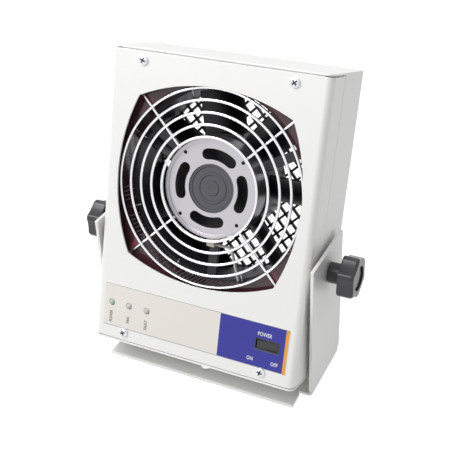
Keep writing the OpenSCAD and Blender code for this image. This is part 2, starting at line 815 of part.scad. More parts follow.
module guard_nuts() color("silver") in_head()
    for (p = bolt_places) difference() {
        hex_y(p[0], head_d, p[1] + fan_up, bolt_nut_af, bolt_nut_t);
        bar_y(p[0], head_d - 1, p[1] + fan_up, bolt_d + 2 * seat_fit, bolt_nut_t + 2);
    }

module emitter_square() translate([0, fan_up]) centred_rect(emitter_w, emitter_w);

module radial_bars(d, from_r, to_r)
    for (turn = needle_angles) translate([0, needle_y, fan_up]) rotate([0, -turn, 0])
        translate([from_r, 0, 0]) rotate([0, 90, 0]) cylinder(d = d, h = to_r - from_r, $fn = 24);

module emitter_frame() color("maroon") in_head() {
    duct_r = emitter_duct_d / 2;
    difference() {
        intersection() {
            union() {
                slab(emitter_front, 2) emitter_square();
                fan_ring(emitter_front, emitter_depth, duct_r + duct_wall, duct_r - 1);
                for (p = bolt_places)
                    bar_y(p[0], emitter_front, p[1] + fan_up, 11, emitter_depth);
            }
            slab(emitter_front, emitter_depth) emitter_square();
        }
        slab(emitter_front - 1, emitter_depth + 2) translate([0, fan_up]) circle(r = duct_r, $fn = 96);
        slab(emitter_front - 1, emitter_depth + 2) bolt_holes();
        radial_bars(socket_d + 2 * seat_fit, duct_r - 1, duct_r + duct_wall + 1);
        fan_ring(needle_y + needle_d / 2, emitter_depth, ring_groove_r + 0.7, ring_groove_r - 0.7);
    }
}

module needle_sockets() color("white") in_head() {
    duct_r = emitter_duct_d / 2;
    difference() {
        radial_bars(socket_d, duct_r - 0.8, duct_r + duct_wall - 0.4);
        radial_bars(needle_d + 2 * seat_fit, duct_r - 2, duct_r + duct_wall);
        fan_ring(needle_y + needle_d / 2, emitter_depth, ring_groove_r + 0.7, ring_groove_r - 0.7);
    }
}

// Needles with sharp points towards the fan's axis
module emitter_needles() color("silver") in_head()
    for (turn = needle_angles) translate([0, needle_y, fan_up]) rotate([0, -turn, 0]) {
        tip_r = emitter_duct_d / 2 - needle_reach;
        point_len = 2.4;
        translate([tip_r + point_len, 0, 0]) rotate([0, 90, 0])
            cylinder(d = needle_d, h = emitter_duct_d / 2 + duct_wall - 0.6 - tip_r - point_len, $fn = 24);
        translate([tip_r, 0, 0]) rotate([0, 90, 0])
            cylinder(d1 = 0.1, d2 = needle_d, h = point_len, $fn = 24);
    }

module needle_ring() color("silver") in_head()
    fan_ring(needle_y + needle_d / 2 + seat_fit, 1.2, ring_groove_r + 0.6, ring_groove_r - 0.6);

// ---- fan and motor ----

module fan_square() translate([0, fan_up]) centred_rect(fan_w, fan_w);

module fan_frame() color("dimgray") in_head() {
    duct_r = fan_duct_d / 2;
    difference() {
        union() {
            slab(fan_front, fan_flange_t) fan_square();
            slab(fan_back - fan_flange_t, fan_flange_t) fan_square();
            fan_ring(fan_front, fan_back - fan_front, duct_r + fan_duct_wall, duct_r - 1);
            for (p = bolt_places) bar_y(p[0], fan_front, p[1] + fan_up, 9.5, fan_back - fan_front);
        }
        slab(fan_front - 1, fan_back - fan_front + 2) translate([0, fan_up]) circle(r = duct_r, $fn = 96);
        slab(fan_front - 1, fan_back - fan_front + 2) bolt_holes();
    }
    slab(fan_front, strut_t) difference() {
        translate([0, fan_up]) union() {
            circle(d = motor_d);
            for (turn = [30, 150, 270]) rotate(turn) translate([0, -strut_w / 2])
                square([duct_r + fan_duct_wall / 2, strut_w]);
        }
        translate([0, fan_up]) circle(r = tube_r + seat_fit);
    }
}

// A slot with rounded ends along an arc about the fan's axis
module arc_slot(turn) {
    mid_r = (slot_inner_r + slot_outer_r) / 2;
    end_d = slot_outer_r - slot_inner_r - 0.2;
    half = slot_span / 2;
    reach = 2 * slot_outer_r;
    intersection() {
        difference() {
            circle(r = slot_outer_r);
            circle(r = slot_inner_r);
        }
        polygon([[0, 0], for (a = [-half, 0, half]) reach * [cos(turn + a), sin(turn + a)]]);
    }
    for (end = [-1, 1]) rotate(turn + end * half) translate([mid_r, 0]) circle(d = end_d);
}

module motor_housing() color("darkgray") in_head() {
    face_y = motor_front + motor_rim_h;
    face_back = face_y + motor_wall;
    outer_r = motor_d / 2;
    rim_w = 1.9;
    difference() {
        translate([0, 0, fan_up]) rotate([-90, 0, 0]) rotate_extrude()
            polygon([[motor_eye_d / 2, face_y], [outer_r - rim_w, face_y], [outer_r - rim_w, motor_front],
                     [outer_r, motor_front], [outer_r, fan_front], [outer_r - motor_wall, fan_front],
                     [outer_r - motor_wall, face_back], [motor_eye_d / 2, face_back]]);
        slab(face_y - 0.5, motor_wall + 1) translate([0, fan_up]) {
            for (turn = [-93, 0, 80, 175]) arc_slot(turn);
            for (turn = [45:90:315]) rotate(turn) translate([outer_r - rim_w - 1.4, 0]) circle(d = 2.2);
        }
    }
}

module bearing_tube() color("#3a3a3e") in_head() {
    bore_r = bearing_d / 2 + seat_fit;
    difference() {
        union() {
            fan_ring(tube_front, tube_flange_t, motor_eye_d / 2 + 1.4, 0.01);
            fan_ring(tube_front, tube_back - tube_front, tube_r, 0.01);
        }
        slab(stator_front - bearing_w, tube_back) translate([0, fan_up]) circle(r = bore_r);
        slab(tube_front - 1, 2 + tube_back) translate([0, fan_up]) circle(r = 1);
    }
}

module bearing_at(y)
    fan_ring(y, bearing_w, bearing_d / 2, shaft_d / 2 + run_fit);

module front_bearing() color("silver") in_head() bearing_at(stator_front - 0.5);
module rear_bearing() color("silver") in_head() bearing_at(tube_back - bearing_w);

module stator_core() color("slategray") in_head()
    slab(stator_front, stator_len) translate([0, fan_up]) difference() {
        union() {
            circle(r = tube_r + 3.4);
            for (i = [0:tooth_count - 1]) rotate(i * 360 / tooth_count)
                translate([0, -tooth_w / 2]) square([stator_r - shoe_t / 2, tooth_w]);
            difference() {
                circle(r = stator_r);
                circle(r = stator_r - shoe_t);
                for (i = [0:tooth_count - 1]) rotate((i + 0.5) * 360 / tooth_count)
                    translate([0, -1.2]) square([stator_r + 1, 2.4]);
            }
        }
        circle(r = tube_r + seat_fit);
    }

module stator_coils() color("chocolate") in_head() {
    coil_in = tube_r + 4;
    coil_out = stator_r - shoe_t - 0.6;
    for (i = [0:tooth_count - 1]) translate([0, 0, fan_up]) rotate([0, -i * 360 / tooth_count, 0])
        difference() {
            translate([coil_in, stator_front - coil_over, -tooth_w / 2 - coil_t])
                cube([coil_out - coil_in, stator_len + 2 * coil_over, tooth_w + 2 * coil_t]);
            translate([coil_in - 1, stator_front - seat_fit, -tooth_w / 2 - seat_fit])
                cube([stator_r, stator_len + 2 * seat_fit, tooth_w + 2 * seat_fit]);
        }
}

// Block below the motor where its leads are soldered, seated on the lower strut
module terminal_block() color("antiquewhite") in_head()
    translate([-block_w / 2, fan_front - block_depth, fan_up - motor_d / 2 - block_h - 0.8])
        cube([block_w, block_depth, block_h]);

// Pair of leads from the block to the right and down to the duct's wall
module motor_leads() color("white") in_head() {
    start_z = fan_up - motor_d / 2 - block_h - 0.1;
    turn_x = block_w / 2 + 9.4;
    wall_x = 19;
    wall_r = emitter_duct_d / 2 - motor_lead_d / 2;
    wall_z = fan_up - sqrt(wall_r * wall_r - wall_x * wall_x);
    run = [wall_x - turn_x, wall_z - start_z];
    for (y = [fan_front - 2.3, fan_front - 0.9]) {
        translate([block_w / 2, y, start_z]) rotate([0, 90, 0])
            cylinder(d = motor_lead_d, h = turn_x - block_w / 2);
        translate([turn_x, y, start_z]) sphere(d = motor_lead_d + 2 * seat_fit);
        translate([turn_x, y, start_z]) rotate([0, -atan2(run[1], run[0]), 0]) rotate([0, 90, 0])
            cylinder(d = motor_lead_d, h = norm(run));
    }
}

module impeller() color("#1c1c1f") in_head() {
    hub_r = hub_d / 2;
    fan_ring(hub_back - hub_cap_t, hub_cap_t, hub_r, shaft_d / 2 + seat_fit);
    fan_ring(hub_front, hub_back - hub_front, hub_r, hub_r - hub_wall);
    fan_ring(boss_front, hub_back - hub_cap_t - boss_front + 0.1, boss_d / 2, shaft_d / 2 + seat_fit);
    intersection() {
        for (i = [0:blade_count - 1]) translate([0, 0, fan_up])
            rotate([0, -i * 360 / blade_count, 0]) blade();
        fan_ring(hub_front + 0.6, hub_back - hub_front - 1, blade_tip_r, hub_r - 0.6);
    }
}

// One blade along X: a strip of a cylinder whose axis is radial
module blade()
    translate([hub_d / 2 - 2, (hub_front + hub_back) / 2, 0]) mirror([0, 0, 1]) rotate([blade_pitch, 0, 0])
        translate([0, 0, -blade_curve_r * cos(24)]) rotate([0, 90, 0])
            linear_extrude(blade_tip_r - hub_d / 2 + 4) intersection() {
                difference() {
                    circle(r = blade_curve_r, $fn = 96);
                    circle(r = blade_curve_r - blade_t, $fn = 96);
                }
                translate([-blade_curve_r - 1, -blade_curve_r * sin(24)])
                    square([blade_curve_r, 2 * blade_curve_r * sin(24)]);
            }

module magnet_ring() color("gray") in_head()
    fan_ring(hub_front + 0.8, hub_back - hub_cap_t - hub_front - 1.6, magnet_out_r, magnet_in_r);

module rotor_shaft() color("silver") in_head()
    bar_y(0, stator_front - 2, fan_up, shaft_d, hub_back - stator_front + 2);

module rear_guard() color("#202022") in_head()
    slab(fan_back, rear_guard_t) difference() {
        union() {
            difference() {
                fan_square();
                translate([0, fan_up]) circle(d = inlet_d, $fn = 96);
            }
            translate([0, fan_up]) intersection() {
                circle(d = inlet_d + 2, $fn = 96);
                lattice();
            }
        }
        bolt_holes();
    }

// Crossed bars at 45 degrees
module lattice() {
    reach = floor(inlet_d / 2 / lattice_pitch);
    for (turn = [45, -45]) rotate(turn)
        for (i = [-reach:reach]) translate([-inlet_d, (i + 0.5) * lattice_pitch - lattice_bar / 2])
            square([2 * inlet_d, lattice_bar]);
}

// ---- tilt pivot ----

module pivot_ring(x, t, d, bore)
    translate([x, pivot_in, pivot_up]) rotate([0, 90, 0]) difference() {
        cylinder(d = d, h = t);
        translate([0, 0, -1]) cylinder(d = bore, h = t + 2);
    }

module pivot_nuts() color("silver") in_head()
    for (side = [-1, 1]) scale_side(side)
        translate([stud_in, pivot_in, pivot_up]) rotate([0, 90, 0])
            difference() {
                cylinder(d = pivot_nut_af / cos(30), h = pivot_nut_t, $fn = 6);
                translate([0, 0, -1]) cylinder(d = stud_d + 2 * run_fit, h = pivot_nut_t + 2);
            }

module pivot_washers() color("black") in_head()
    for (side = [-1, 1]) scale_side(side)
        pivot_ring(head_w / 2, washer_t, washer_d, stud_d + 2 * part_gap);

// Outline of a knob's head with hollows between its lobes
module knob_outline()
    difference() {
        circle(d = knob_d);
        for (i = [0:knob_lobes - 1]) rotate((i + 0.5) * 360 / knob_lobes)
            translate([knob_d / 2 + knob_d - knob_hollow, 0]) circle(d = 2 * knob_d);
    }

module at_pivot(side) translate([0, 0, pivot_h]) scale_side(side) rotate([0, 90, 0]) children();

module knob(side) at_pivot(side)
    difference() {
        union() {
            translate([0, 0, head_in]) linear_extrude(knob_t) knob_outline();
            translate([0, 0, neck_in]) cylinder(d = neck_d, h = neck_len + 1);
        }
        translate([0, 0, neck_in - 1]) cylinder(d = stud_d + 2 * seat_fit, h = neck_len + 5);
        translate([0, 0, head_out - 2]) cylinder(d = knob_cap_d, h = 3);
    }

// Threaded stud moulded into the knob, reaching into the pivot nut
module stud(side) at_pivot(side)
    translate([0, 0, stud_in]) cylinder(d = stud_d, h = head_in + stud_grip - stud_in);

module knob_cap(side) at_pivot(side)
    translate([0, 0, head_out - 2]) cylinder(d = knob_cap_d - 2 * seat_fit, h = 1.2);

module right_knob() color("#202024") knob(1);
module right_stud() color("silver") stud(1);
module right_cap() color("#101012") knob_cap(1);
module left_knob() color("#202024") knob(-1);
module left_stud() color("silver") stud(-1);
module left_cap() color("#101012") knob_cap(-1);

bracket();
front_cover();
rear_chassis();
control_label();
cover_screws();
cover_nuts();
power_led();
fan_led();
fault_led();
led_leads();
control_board();
board_standoffs();
board_screws();
board_capacitors();
board_chips();
hv_module();
hv_screws();
hv_lead();
choke_core();
choke_coil();
switch_body();
switch_terminals();
switch_rocker();
power_jack();
jack_pin();
jack_nut();
ground_socket();
ground_nut();
trimmer_body();
balance_dial();
fan_guard();
guard_bolts();
guard_nuts();
emitter_frame();
needle_sockets();
emitter_needles();
needle_ring();
fan_frame();
motor_housing();
bearing_tube();
front_bearing();
rear_bearing();
stator_core();
stator_coils();
terminal_block();
motor_leads();
rear_guard();
pivot_nuts();
pivot_washers();
impeller();
magnet_ring();
rotor_shaft();
right_knob();
right_stud();
right_cap();
left_knob();
left_stud();
left_cap();
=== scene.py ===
"""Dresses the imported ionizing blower: a painted sheet-metal head with a wire-guarded fan and a ring
of emitter needles, carried between the arms of a U-shaped stand by two clamp knobs."""

import json
import math
from contextlib import contextmanager

import bmesh
import bpy
from mathutils import Matrix, Vector

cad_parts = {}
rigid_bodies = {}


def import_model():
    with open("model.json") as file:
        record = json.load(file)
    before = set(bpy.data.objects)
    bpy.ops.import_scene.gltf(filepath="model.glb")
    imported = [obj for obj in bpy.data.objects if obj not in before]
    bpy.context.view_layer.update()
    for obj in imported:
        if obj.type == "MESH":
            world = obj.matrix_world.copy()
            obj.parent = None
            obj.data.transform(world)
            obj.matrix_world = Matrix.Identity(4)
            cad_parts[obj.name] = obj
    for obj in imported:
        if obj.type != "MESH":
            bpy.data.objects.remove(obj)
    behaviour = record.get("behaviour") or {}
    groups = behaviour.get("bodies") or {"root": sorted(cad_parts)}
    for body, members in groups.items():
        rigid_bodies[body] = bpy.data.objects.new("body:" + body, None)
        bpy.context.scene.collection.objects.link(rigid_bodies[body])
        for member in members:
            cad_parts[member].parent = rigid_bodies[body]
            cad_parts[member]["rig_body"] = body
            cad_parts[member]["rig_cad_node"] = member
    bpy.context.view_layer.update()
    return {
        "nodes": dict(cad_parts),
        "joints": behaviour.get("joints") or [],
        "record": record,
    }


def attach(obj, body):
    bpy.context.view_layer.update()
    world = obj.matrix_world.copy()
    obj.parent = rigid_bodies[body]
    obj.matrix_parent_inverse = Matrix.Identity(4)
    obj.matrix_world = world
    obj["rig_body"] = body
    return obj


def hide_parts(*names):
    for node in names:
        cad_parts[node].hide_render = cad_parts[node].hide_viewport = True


bl_info = {
    "name": "Ionizing Blower",
    "version": (1, 0, 0),
    "blender": (4, 5, 0),
    "location": "3D Viewport > Sidebar > Blower",
    "description": "Models the visible pieces of a benchtop ionizing blower round its packed frame",
    "category": "Add Mesh",
}

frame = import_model()
MM = 0.001

# ---- places, worked out from the frame ----

JOINTS = {joint["name"]: joint for joint in frame["joints"]}
PIVOT = Vector(JOINTS["head_tilt"]["pos_m"]) / MM
SPIN_AXIS = Vector(JOINTS["fan_spin"]["axis"])
LEAN = math.atan2(-SPIN_AXIS.z, SPIN_AXIS.y)
STAND = Matrix.Identity(4)
TO_FRONT = Matrix.Rotation(math.radians(90), 4, "X")


def box_in(node, place):
    """Lowest and highest corner of a node, in millimetres, in a place of its own."""
    inverse = place.inverted()
    points = [inverse @ (v.co / MM) for v in frame["nodes"][node].data.vertices]
    low = Vector(min(p[i] for p in points) for i in range(3))
    high = Vector(max(p[i] for p in points) for i in range(3))
    return low, high


def head_place():
    """Matrix of the leaned head, from the middle of its front face's lower edge."""
    leaned = Matrix.Translation(PIVOT) @ Matrix.Rotation(-LEAN, 4, "X")
    low, _ = box_in("rear_chassis", leaned)
    return leaned @ Matrix.Translation((0, low.y, low.z))


HEAD = head_place()
MOTOR_LOW, MOTOR_HIGH = box_in("motor_housing", HEAD)
FAN_UP = (MOTOR_LOW.z + MOTOR_HIGH.z) / 2
# Along the fan's axis: X right, Y up the face, Z out towards the front
FAN = HEAD @ Matrix.Translation((0, 0, FAN_UP)) @ TO_FRONT
KNOB_SIDES = {
    "right": Matrix.Translation(PIVOT) @ Matrix.Rotation(math.radians(90), 4, "Y"),
    "left": Matrix.Translation(PIVOT) @ Matrix.Rotation(math.radians(-90), 4, "Y"),
}


# ---- sizes and colours that a user would change ----


def linear(code):
    """An sRGB hex colour as linear red, green and blue."""
    shares = [int(code[i : i + 2], 16) / 255 for i in (1, 3, 5)]
    return tuple(c / 12.92 if c <= 0.04045 else ((c + 0.055) / 1.055) ** 2.4 for c in shares)


def colour_setting(name, text, code):
    return bpy.props.FloatVectorProperty(
        name=name, description=text, subtype="COLOR", size=3, min=0, max=1, default=linear(code)
    )


def size_setting(name, text, mm):
    return bpy.props.FloatProperty(
        name=name, description=text, subtype="DISTANCE", unit="LENGTH", min=0, default=mm * MM
    )


class BlowerColours(bpy.types.PropertyGroup):
    """Colours of the blower's main finishes."""

    paint: colour_setting("Paint", "Powder coat of the head and the stand", "#EFEFEC")
    film: colour_setting("Label film", "Ground of the control label", "#F8F1E4")
    field: colour_setting("Label field", "Field round the switch on the control label", "#33359C")
    strip: colour_setting("Label strip", "Narrow strip at the right of the label", "#F0AE45")
    wine: colour_setting("Emitter frame", "Moulded frame of the emitter ring", "#8C1F33")
    knob: colour_setting("Knobs", "Moulded clamp knobs", "#1B1A1F")
    motor: colour_setting("Motor", "Face of the fan's motor housing", "#504C52")


class BlowerSizes(bpy.types.PropertyGroup):
    """Sizes of the details that the frame leaves plain."""

    sheet_round: size_setting("Sheet edge", "Rounding of the painted sheet's edges", 0.3)
    mould_round: size_setting("Mould edge", "Rounding of the moulded pieces' edges", 0.4)
    wire: size_setting("Guard wire", "Diameter of the fan guard's wire", 1.8)
    ring_step: size_setting("Ring step", "Step from one guard ring to the next", 7)
    eyelet: size_setting("Guard eyelet", "Radius of the guard's corner eyelets", 3.4)
    knob_fillet: size_setting("Knob fillet", "Rounding of the knob's rim", 1.8)
    knob_hollow: size_setting("Knob hollow", "Depth of the hollows between the lobes", 1.6)
    letter: size_setting("Lettering", "Height of the label's capitals", 2.3)


def sizes():
    return bpy.context.scene.blower_sizes


def colours():
    return bpy.context.scene.blower_colours


# ---- modelling steps ----

# Points nearer to each other than this, in millimetres, become one
MERGE = 0.001


def clear_selection():
    """Leaves edit mode and selects nothing."""
    if bpy.context.mode != "OBJECT":
        bpy.ops.object.mode_set(mode="OBJECT")
    bpy.ops.object.select_all(action="DESELECT")


def choose(piece, *others):
    """Selects these objects alone, the first as the active one."""
    clear_selection()
    for chosen in (piece, *others):
        chosen.select_set(True)
    bpy.context.view_layer.objects.active = piece


def newest(name):
    """Names the object that was just added."""
    piece = bpy.context.active_object
    piece.name = piece.data.name = name
    return piece


@contextmanager
def editing(piece):
    """Edit mode on one piece, with all of it selected."""
    choose(piece)
    bpy.ops.object.mode_set(mode="EDIT")
    bpy.ops.mesh.select_all(action="SELECT")
    yield
    bpy.ops.object.mode_set(mode="OBJECT")


def pick(kind, test):
    """In edit mode, selects the faces or edges that pass a test."""
    bpy.ops.mesh.select_mode(type=kind)
    bpy.ops.mesh.select_all(action="DESELECT")
    mesh = bmesh.from_edit_mesh(bpy.context.object.data)
    for item in mesh.faces if kind == "FACE" else mesh.edges:
        item.select_set(test(item))
    bmesh.update_edit_mesh(bpy.context.object.data)


def drawn(name, points):
    """A line drawn point by point, by extruding a vertex."""
    clear_selection()
    bpy.ops.mesh.primitive_plane_add(size=1)
    piece = newest(name)
    with editing(piece):
        bpy.ops.mesh.select_mode(type="VERT")
        bpy.ops.mesh.merge(type="CENTER")
        bpy.ops.transform.translate(value=points[0])
        for here, there in zip(points, points[1:]):
            bpy.ops.mesh.extrude_vertices_move(TRANSFORM_OT_translate={"value": there - here})
    return piece


def turned(name, profile, steps=96):
    """A solid of revolution about Z from (radius, height) points that start and end on the axis,
    or that come back to where they start."""
    piece = drawn(name, [Vector((radius, 0, height)) for radius, height in profile])
    with editing(piece):
        bpy.ops.mesh.spin(steps=steps, angle=math.tau, center=(0, 0, 0), axis=(0, 0, 1))
        bpy.ops.mesh.select_all(action="SELECT")
        bpy.ops.mesh.remove_doubles(threshold=MERGE)
        bpy.ops.mesh.normals_make_consistent(inside=False)
    return piece


def block(name, size, centre):
    """A box of a size about a centre, as a start."""
    clear_selection()
    bpy.ops.mesh.primitive_cube_add(size=1, location=centre, scale=size)
    piece = newest(name)
    bpy.ops.object.transform_apply(location=True, rotation=True, scale=True)
    return piece


def rod(name, radius, length, centre, turn=(0, 0, 0), steps=32):
    """A round bar about a centre, along Z unless it is turned."""
    clear_selection()
    bpy.ops.mesh.primitive_cylinder_add(
        vertices=steps, radius=radius, depth=length, location=centre, rotation=turn
    )
    piece = newest(name)
    bpy.ops.object.transform_apply(location=True, rotation=True, scale=True)
    return piece


def ring(name, radius, wire_radius, centre, steps=128):
    """A ring of round wire about Z."""
    clear_selection()
    bpy.ops.mesh.primitive_torus_add(
        major_radius=radius, minor_radius=wire_radius, major_segments=steps, minor_segments=14,
        location=centre,
    )
    piece = newest(name)
    bpy.ops.object.transform_apply(location=True, rotation=True, scale=True)
    return piece


def twin(piece, turn):
    """A copy of a piece with its own mesh, turned or moved by a matrix."""
    other = piece.copy()
    other.data = piece.data.copy()
    bpy.context.scene.collection.objects.link(other)
    other.data.transform(turn)
    return other


def joined(name, pieces):
    """One object made from several."""
    choose(*pieces)
    bpy.ops.object.join()
    return newest(name)


def cut(piece, *cutters):
    """Takes the cutters' shapes out of a piece."""
    for cutter in cutters:
        choose(piece)
        tool = piece.modifiers.new("Cut", "BOOLEAN")
        tool.operation = "DIFFERENCE"
        tool.solver = "EXACT"
        tool.object = cutter
        bpy.ops.object.modifier_apply(modifier=tool.name)
        bpy.data.objects.remove(cutter)


def softened(piece, width, segments=2, angle=35):
    """Rounds a piece's sharp edges and shades it smooth between them."""
    choose(piece)
    tool = piece.modifiers.new("Edge rounding", "BEVEL")
    tool.width = width
    tool.segments = segments
    tool.limit_method = "ANGLE"
    tool.angle_limit = math.radians(angle)
    tool.use_clamp_overlap = False
    bpy.ops.object.modifier_apply(modifier=tool.name)
    return smoothed(piece, angle)


def smoothed(piece, angle=35):
    """Shades a piece smooth up to an angle, and keeps its broad faces flat."""
    choose(piece)
    bpy.ops.object.shade_smooth_by_angle(angle=math.radians(angle))
    tool = piece.modifiers.new("Flat faces", "WEIGHTED_NORMAL")
    tool.keep_sharp = True
    bpy.ops.object.modifier_apply(modifier=tool.name)
    return piece


def node_copy(name, node, place):
    """A copy of a CAD node's shape, merged, in millimetres in a place of its own."""
    source = frame["nodes"][node]
    piece = source.copy()
    piece.data = source.data.copy()
    piece.parent = None
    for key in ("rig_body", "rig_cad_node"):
        del piece[key]
    bpy.context.scene.collection.objects.link(piece)
    piece.name = piece.data.name = name
    piece.data.transform(place.inverted() @ Matrix.Scale(1 / MM, 4))
    choose(piece)
    bpy.ops.mesh.customdata_custom_splitnormals_clear()
    with editing(piece):
        bpy.ops.mesh.remove_doubles(threshold=2 * MERGE)
        bpy.ops.mesh.dissolve_limited(angle_limit=math.radians(0.4))
    return piece


def seated(piece, place, body, slot, *nodes, finishes=None):
    """Puts a piece, modelled in millimetres, in its place with its finish and body.
    It stands for the nodes named."""
    piece.data.transform(Matrix.Scale(MM, 4) @ place)
    piece.data.materials.clear()
    for finish in finishes or [slot]:
        piece.data.materials.append(bpy.data.materials[finish])
    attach(piece, body)
    if nodes:
        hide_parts(*nodes)
    return piece


def remade(name, node, place, body, slot, edge, segments=2, finishes=None):
    """A CAD node's own shape with its edges rounded, seated in that node's stead."""
    piece = node_copy(name, node, place)
    softened(piece, edge, segments)
    return seated(piece, place, body, slot, node, finishes=finishes)


# ---- finishes ----


def add_node(tree, kind, settings=(), inputs=()):
    """Adds a node with its settings. An input is a value, or the socket that feeds it."""
    node = tree.nodes.new(kind)
    for key, value in dict(settings).items():
        setattr(node, key, value)
    for key, value in dict(inputs).items():
        if isinstance(value, bpy.types.NodeSocket):
            tree.links.new(value, node.inputs[key])
        else:
            node.inputs[key].default_value = value
    return node


def shade(colour, share):
    """A colour made darker or lighter by a share, with full alpha."""
    return tuple(min(1.0, c * share) for c in colour[:3]) + (1.0,)


def surface(name, colour, roughness, metallic=0.0, clouds=0.05, clouds_mm=25, swing=0.06,
            grain=0.0, grain_mm=0.8, along=(1, 1, 1), shader=()):
    """A finish whose colour drifts in soft clouds, and whose gloss and relief follow a fine grain.
    along squeezes the grain, so that it runs in one direction."""
    material = bpy.data.materials.new(name)
    material.use_nodes = True
    material.diffuse_color = shade(colour, 1)
    tree = material.node_tree
    tree.nodes.clear()
    place = add_node(tree, "ShaderNodeTexCoord").outputs["Object"]
    soft = add_node(tree, "ShaderNodeTexNoise", (),
                    {"Vector": place, "Scale": 1 / (clouds_mm * MM), "Detail": 3.0})
    drift = add_node(tree, "ShaderNodeMix", {"data_type": "RGBA"},
                     {"Factor": soft.outputs["Fac"]})
    # The mix's sockets 6 and 7 are its two colours, and its output 2 is their blend
    drift.inputs[6].default_value = shade(colour, 1 - clouds)
    drift.inputs[7].default_value = shade(colour, 1 + clouds)
    run = add_node(tree, "ShaderNodeMapping", (), {"Vector": place, "Scale": along})
    fine = add_node(tree, "ShaderNodeTexNoise", (),
                    {"Vector": run.outputs["Vector"], "Scale": 1 / (grain_mm * MM), "Detail": 4.0})
    gloss = add_node(tree, "ShaderNodeMapRange", (),
                     {"Value": fine.outputs["Fac"], "To Min": max(0.02, roughness - swing),
                      "To Max": min(1.0, roughness + swing)})
    relief = add_node(tree, "ShaderNodeBump", (),
                      {"Height": fine.outputs["Fac"], "Distance": grain * MM, "Strength": 1.0})
    body = add_node(tree, "ShaderNodeBsdfPrincipled", (),
                    {"Base Color": drift.outputs[2], "Roughness": gloss.outputs["Result"],
                     "Metallic": metallic, "Normal": relief.outputs["Normal"], **dict(shader)})
    add_node(tree, "ShaderNodeOutputMaterial", (), {"Surface": body.outputs["BSDF"]})
    return material


def painted_finishes():
    """Paint, film and ink."""
    tint = colours()
    # Powder coat on steel sheet: a satin skin with a faint orange peel, about 1.5 mm from crest to crest
    surface("white_paint", tint.paint, 0.32, clouds=0.012, clouds_mm=60, swing=0.04, grain=0.012,
            grain_mm=1.5, shader={"Specular IOR Level": 0.3, "Coat Weight": 0.12, "Coat Roughness": 0.18})
    # Polyester label film, screen printed: even and slightly matt
    film = {"roughness": 0.42, "clouds": 0.015, "clouds_mm": 40, "grain": 0.004, "grain_mm": 0.5}
    surface("label_film", tint.film, **film)
    surface("label_field", tint.field, **film)
    surface("label_strip", tint.strip, **film)
    surface("label_border", linear("#9A9AA6"), **film)
    surface("ink_white", linear("#F4F4F8"), **film)
    surface("ink_black", linear("#1A1A1C"), **film)


def metal_finishes():
    """Steel, aluminium, brass and copper, each with the marks of how it was made."""
    # Zinc-plated steel: bluish and a little cloudy
    surface("zinc_steel", linear("#C9CDD4"), 0.3, 1.0, clouds=0.12, clouds_mm=3, swing=0.1,
            grain=0.01, grain_mm=0.5)
    # The screws' recesses: dark grey, painted shade of the plated steel down in the cross
    surface("recess_shadow", linear("#3C3D42"), 0.6, 0.5, clouds=0.1, clouds_mm=2)
    # Nickel-chrome plated wire, drawn: bright, with faint marks along its length
    surface("guard_chrome", linear("#B8B0B0"), 0.16, 1.0, clouds=0.06, clouds_mm=8, swing=0.06,
            grain=0.006, grain_mm=0.7)
    # Cast motor housing under a thin grey coat: low sheen over a sandy skin
    surface("cast_aluminium", colours().motor, 0.42, 0.35, clouds=0.08, clouds_mm=12, swing=0.08,
            grain=0.03, grain_mm=0.7)
    # Die-cast fan frame, blackened: satin, with the flow marks of the casting
    surface("frame_metal", linear("#3A393D"), 0.34, 0.5, clouds=0.2, clouds_mm=14, swing=0.1,
            grain=0.02, grain_mm=1.2)
    # Turned bearing seat, oxidised dark
    surface("dark_metal", linear("#17151A"), 0.45, 0.6, clouds=0.25, clouds_mm=2.5, swing=0.12,
            grain=0.05, grain_mm=0.5)
    # Tinned copper leads of the lights
    surface("steel_leads", linear("#C8C8CA"), 0.25, 1.0, clouds=0.08, clouds_mm=2)
    # Ground bearing steel
    surface("bearing_steel", linear("#C2C4C8"), 0.18, 1.0, clouds=0.05, clouds_mm=4)
    # Stacked electrical steel: grey, ridged at each sheet, drawn 0.6 mm apart
    surface("lamination", linear("#7C7F86"), 0.4, 0.8, clouds=0.1, clouds_mm=6, grain=0.03,
            grain_mm=0.6, along=(0.1, 1, 0.1))
    # Tungsten emitter needles, ground to a point
    surface("needle_metal", linear("#B9BBC2"), 0.22, 1.0, clouds=0.1, clouds_mm=2)
    # Turned brass
    surface("brass", linear("#C9A24E"), 0.28, 1.0, clouds=0.08, clouds_mm=4, grain=0.008, grain_mm=0.6)
    # Enamelled copper winding: reddish, with the wires side by side, drawn 0.5 mm apart
    surface("copper_wire", linear("#A85A32"), 0.32, 0.8, clouds=0.15, clouds_mm=2, grain=0.06,
            grain_mm=0.5, along=(1, 0.15, 1))


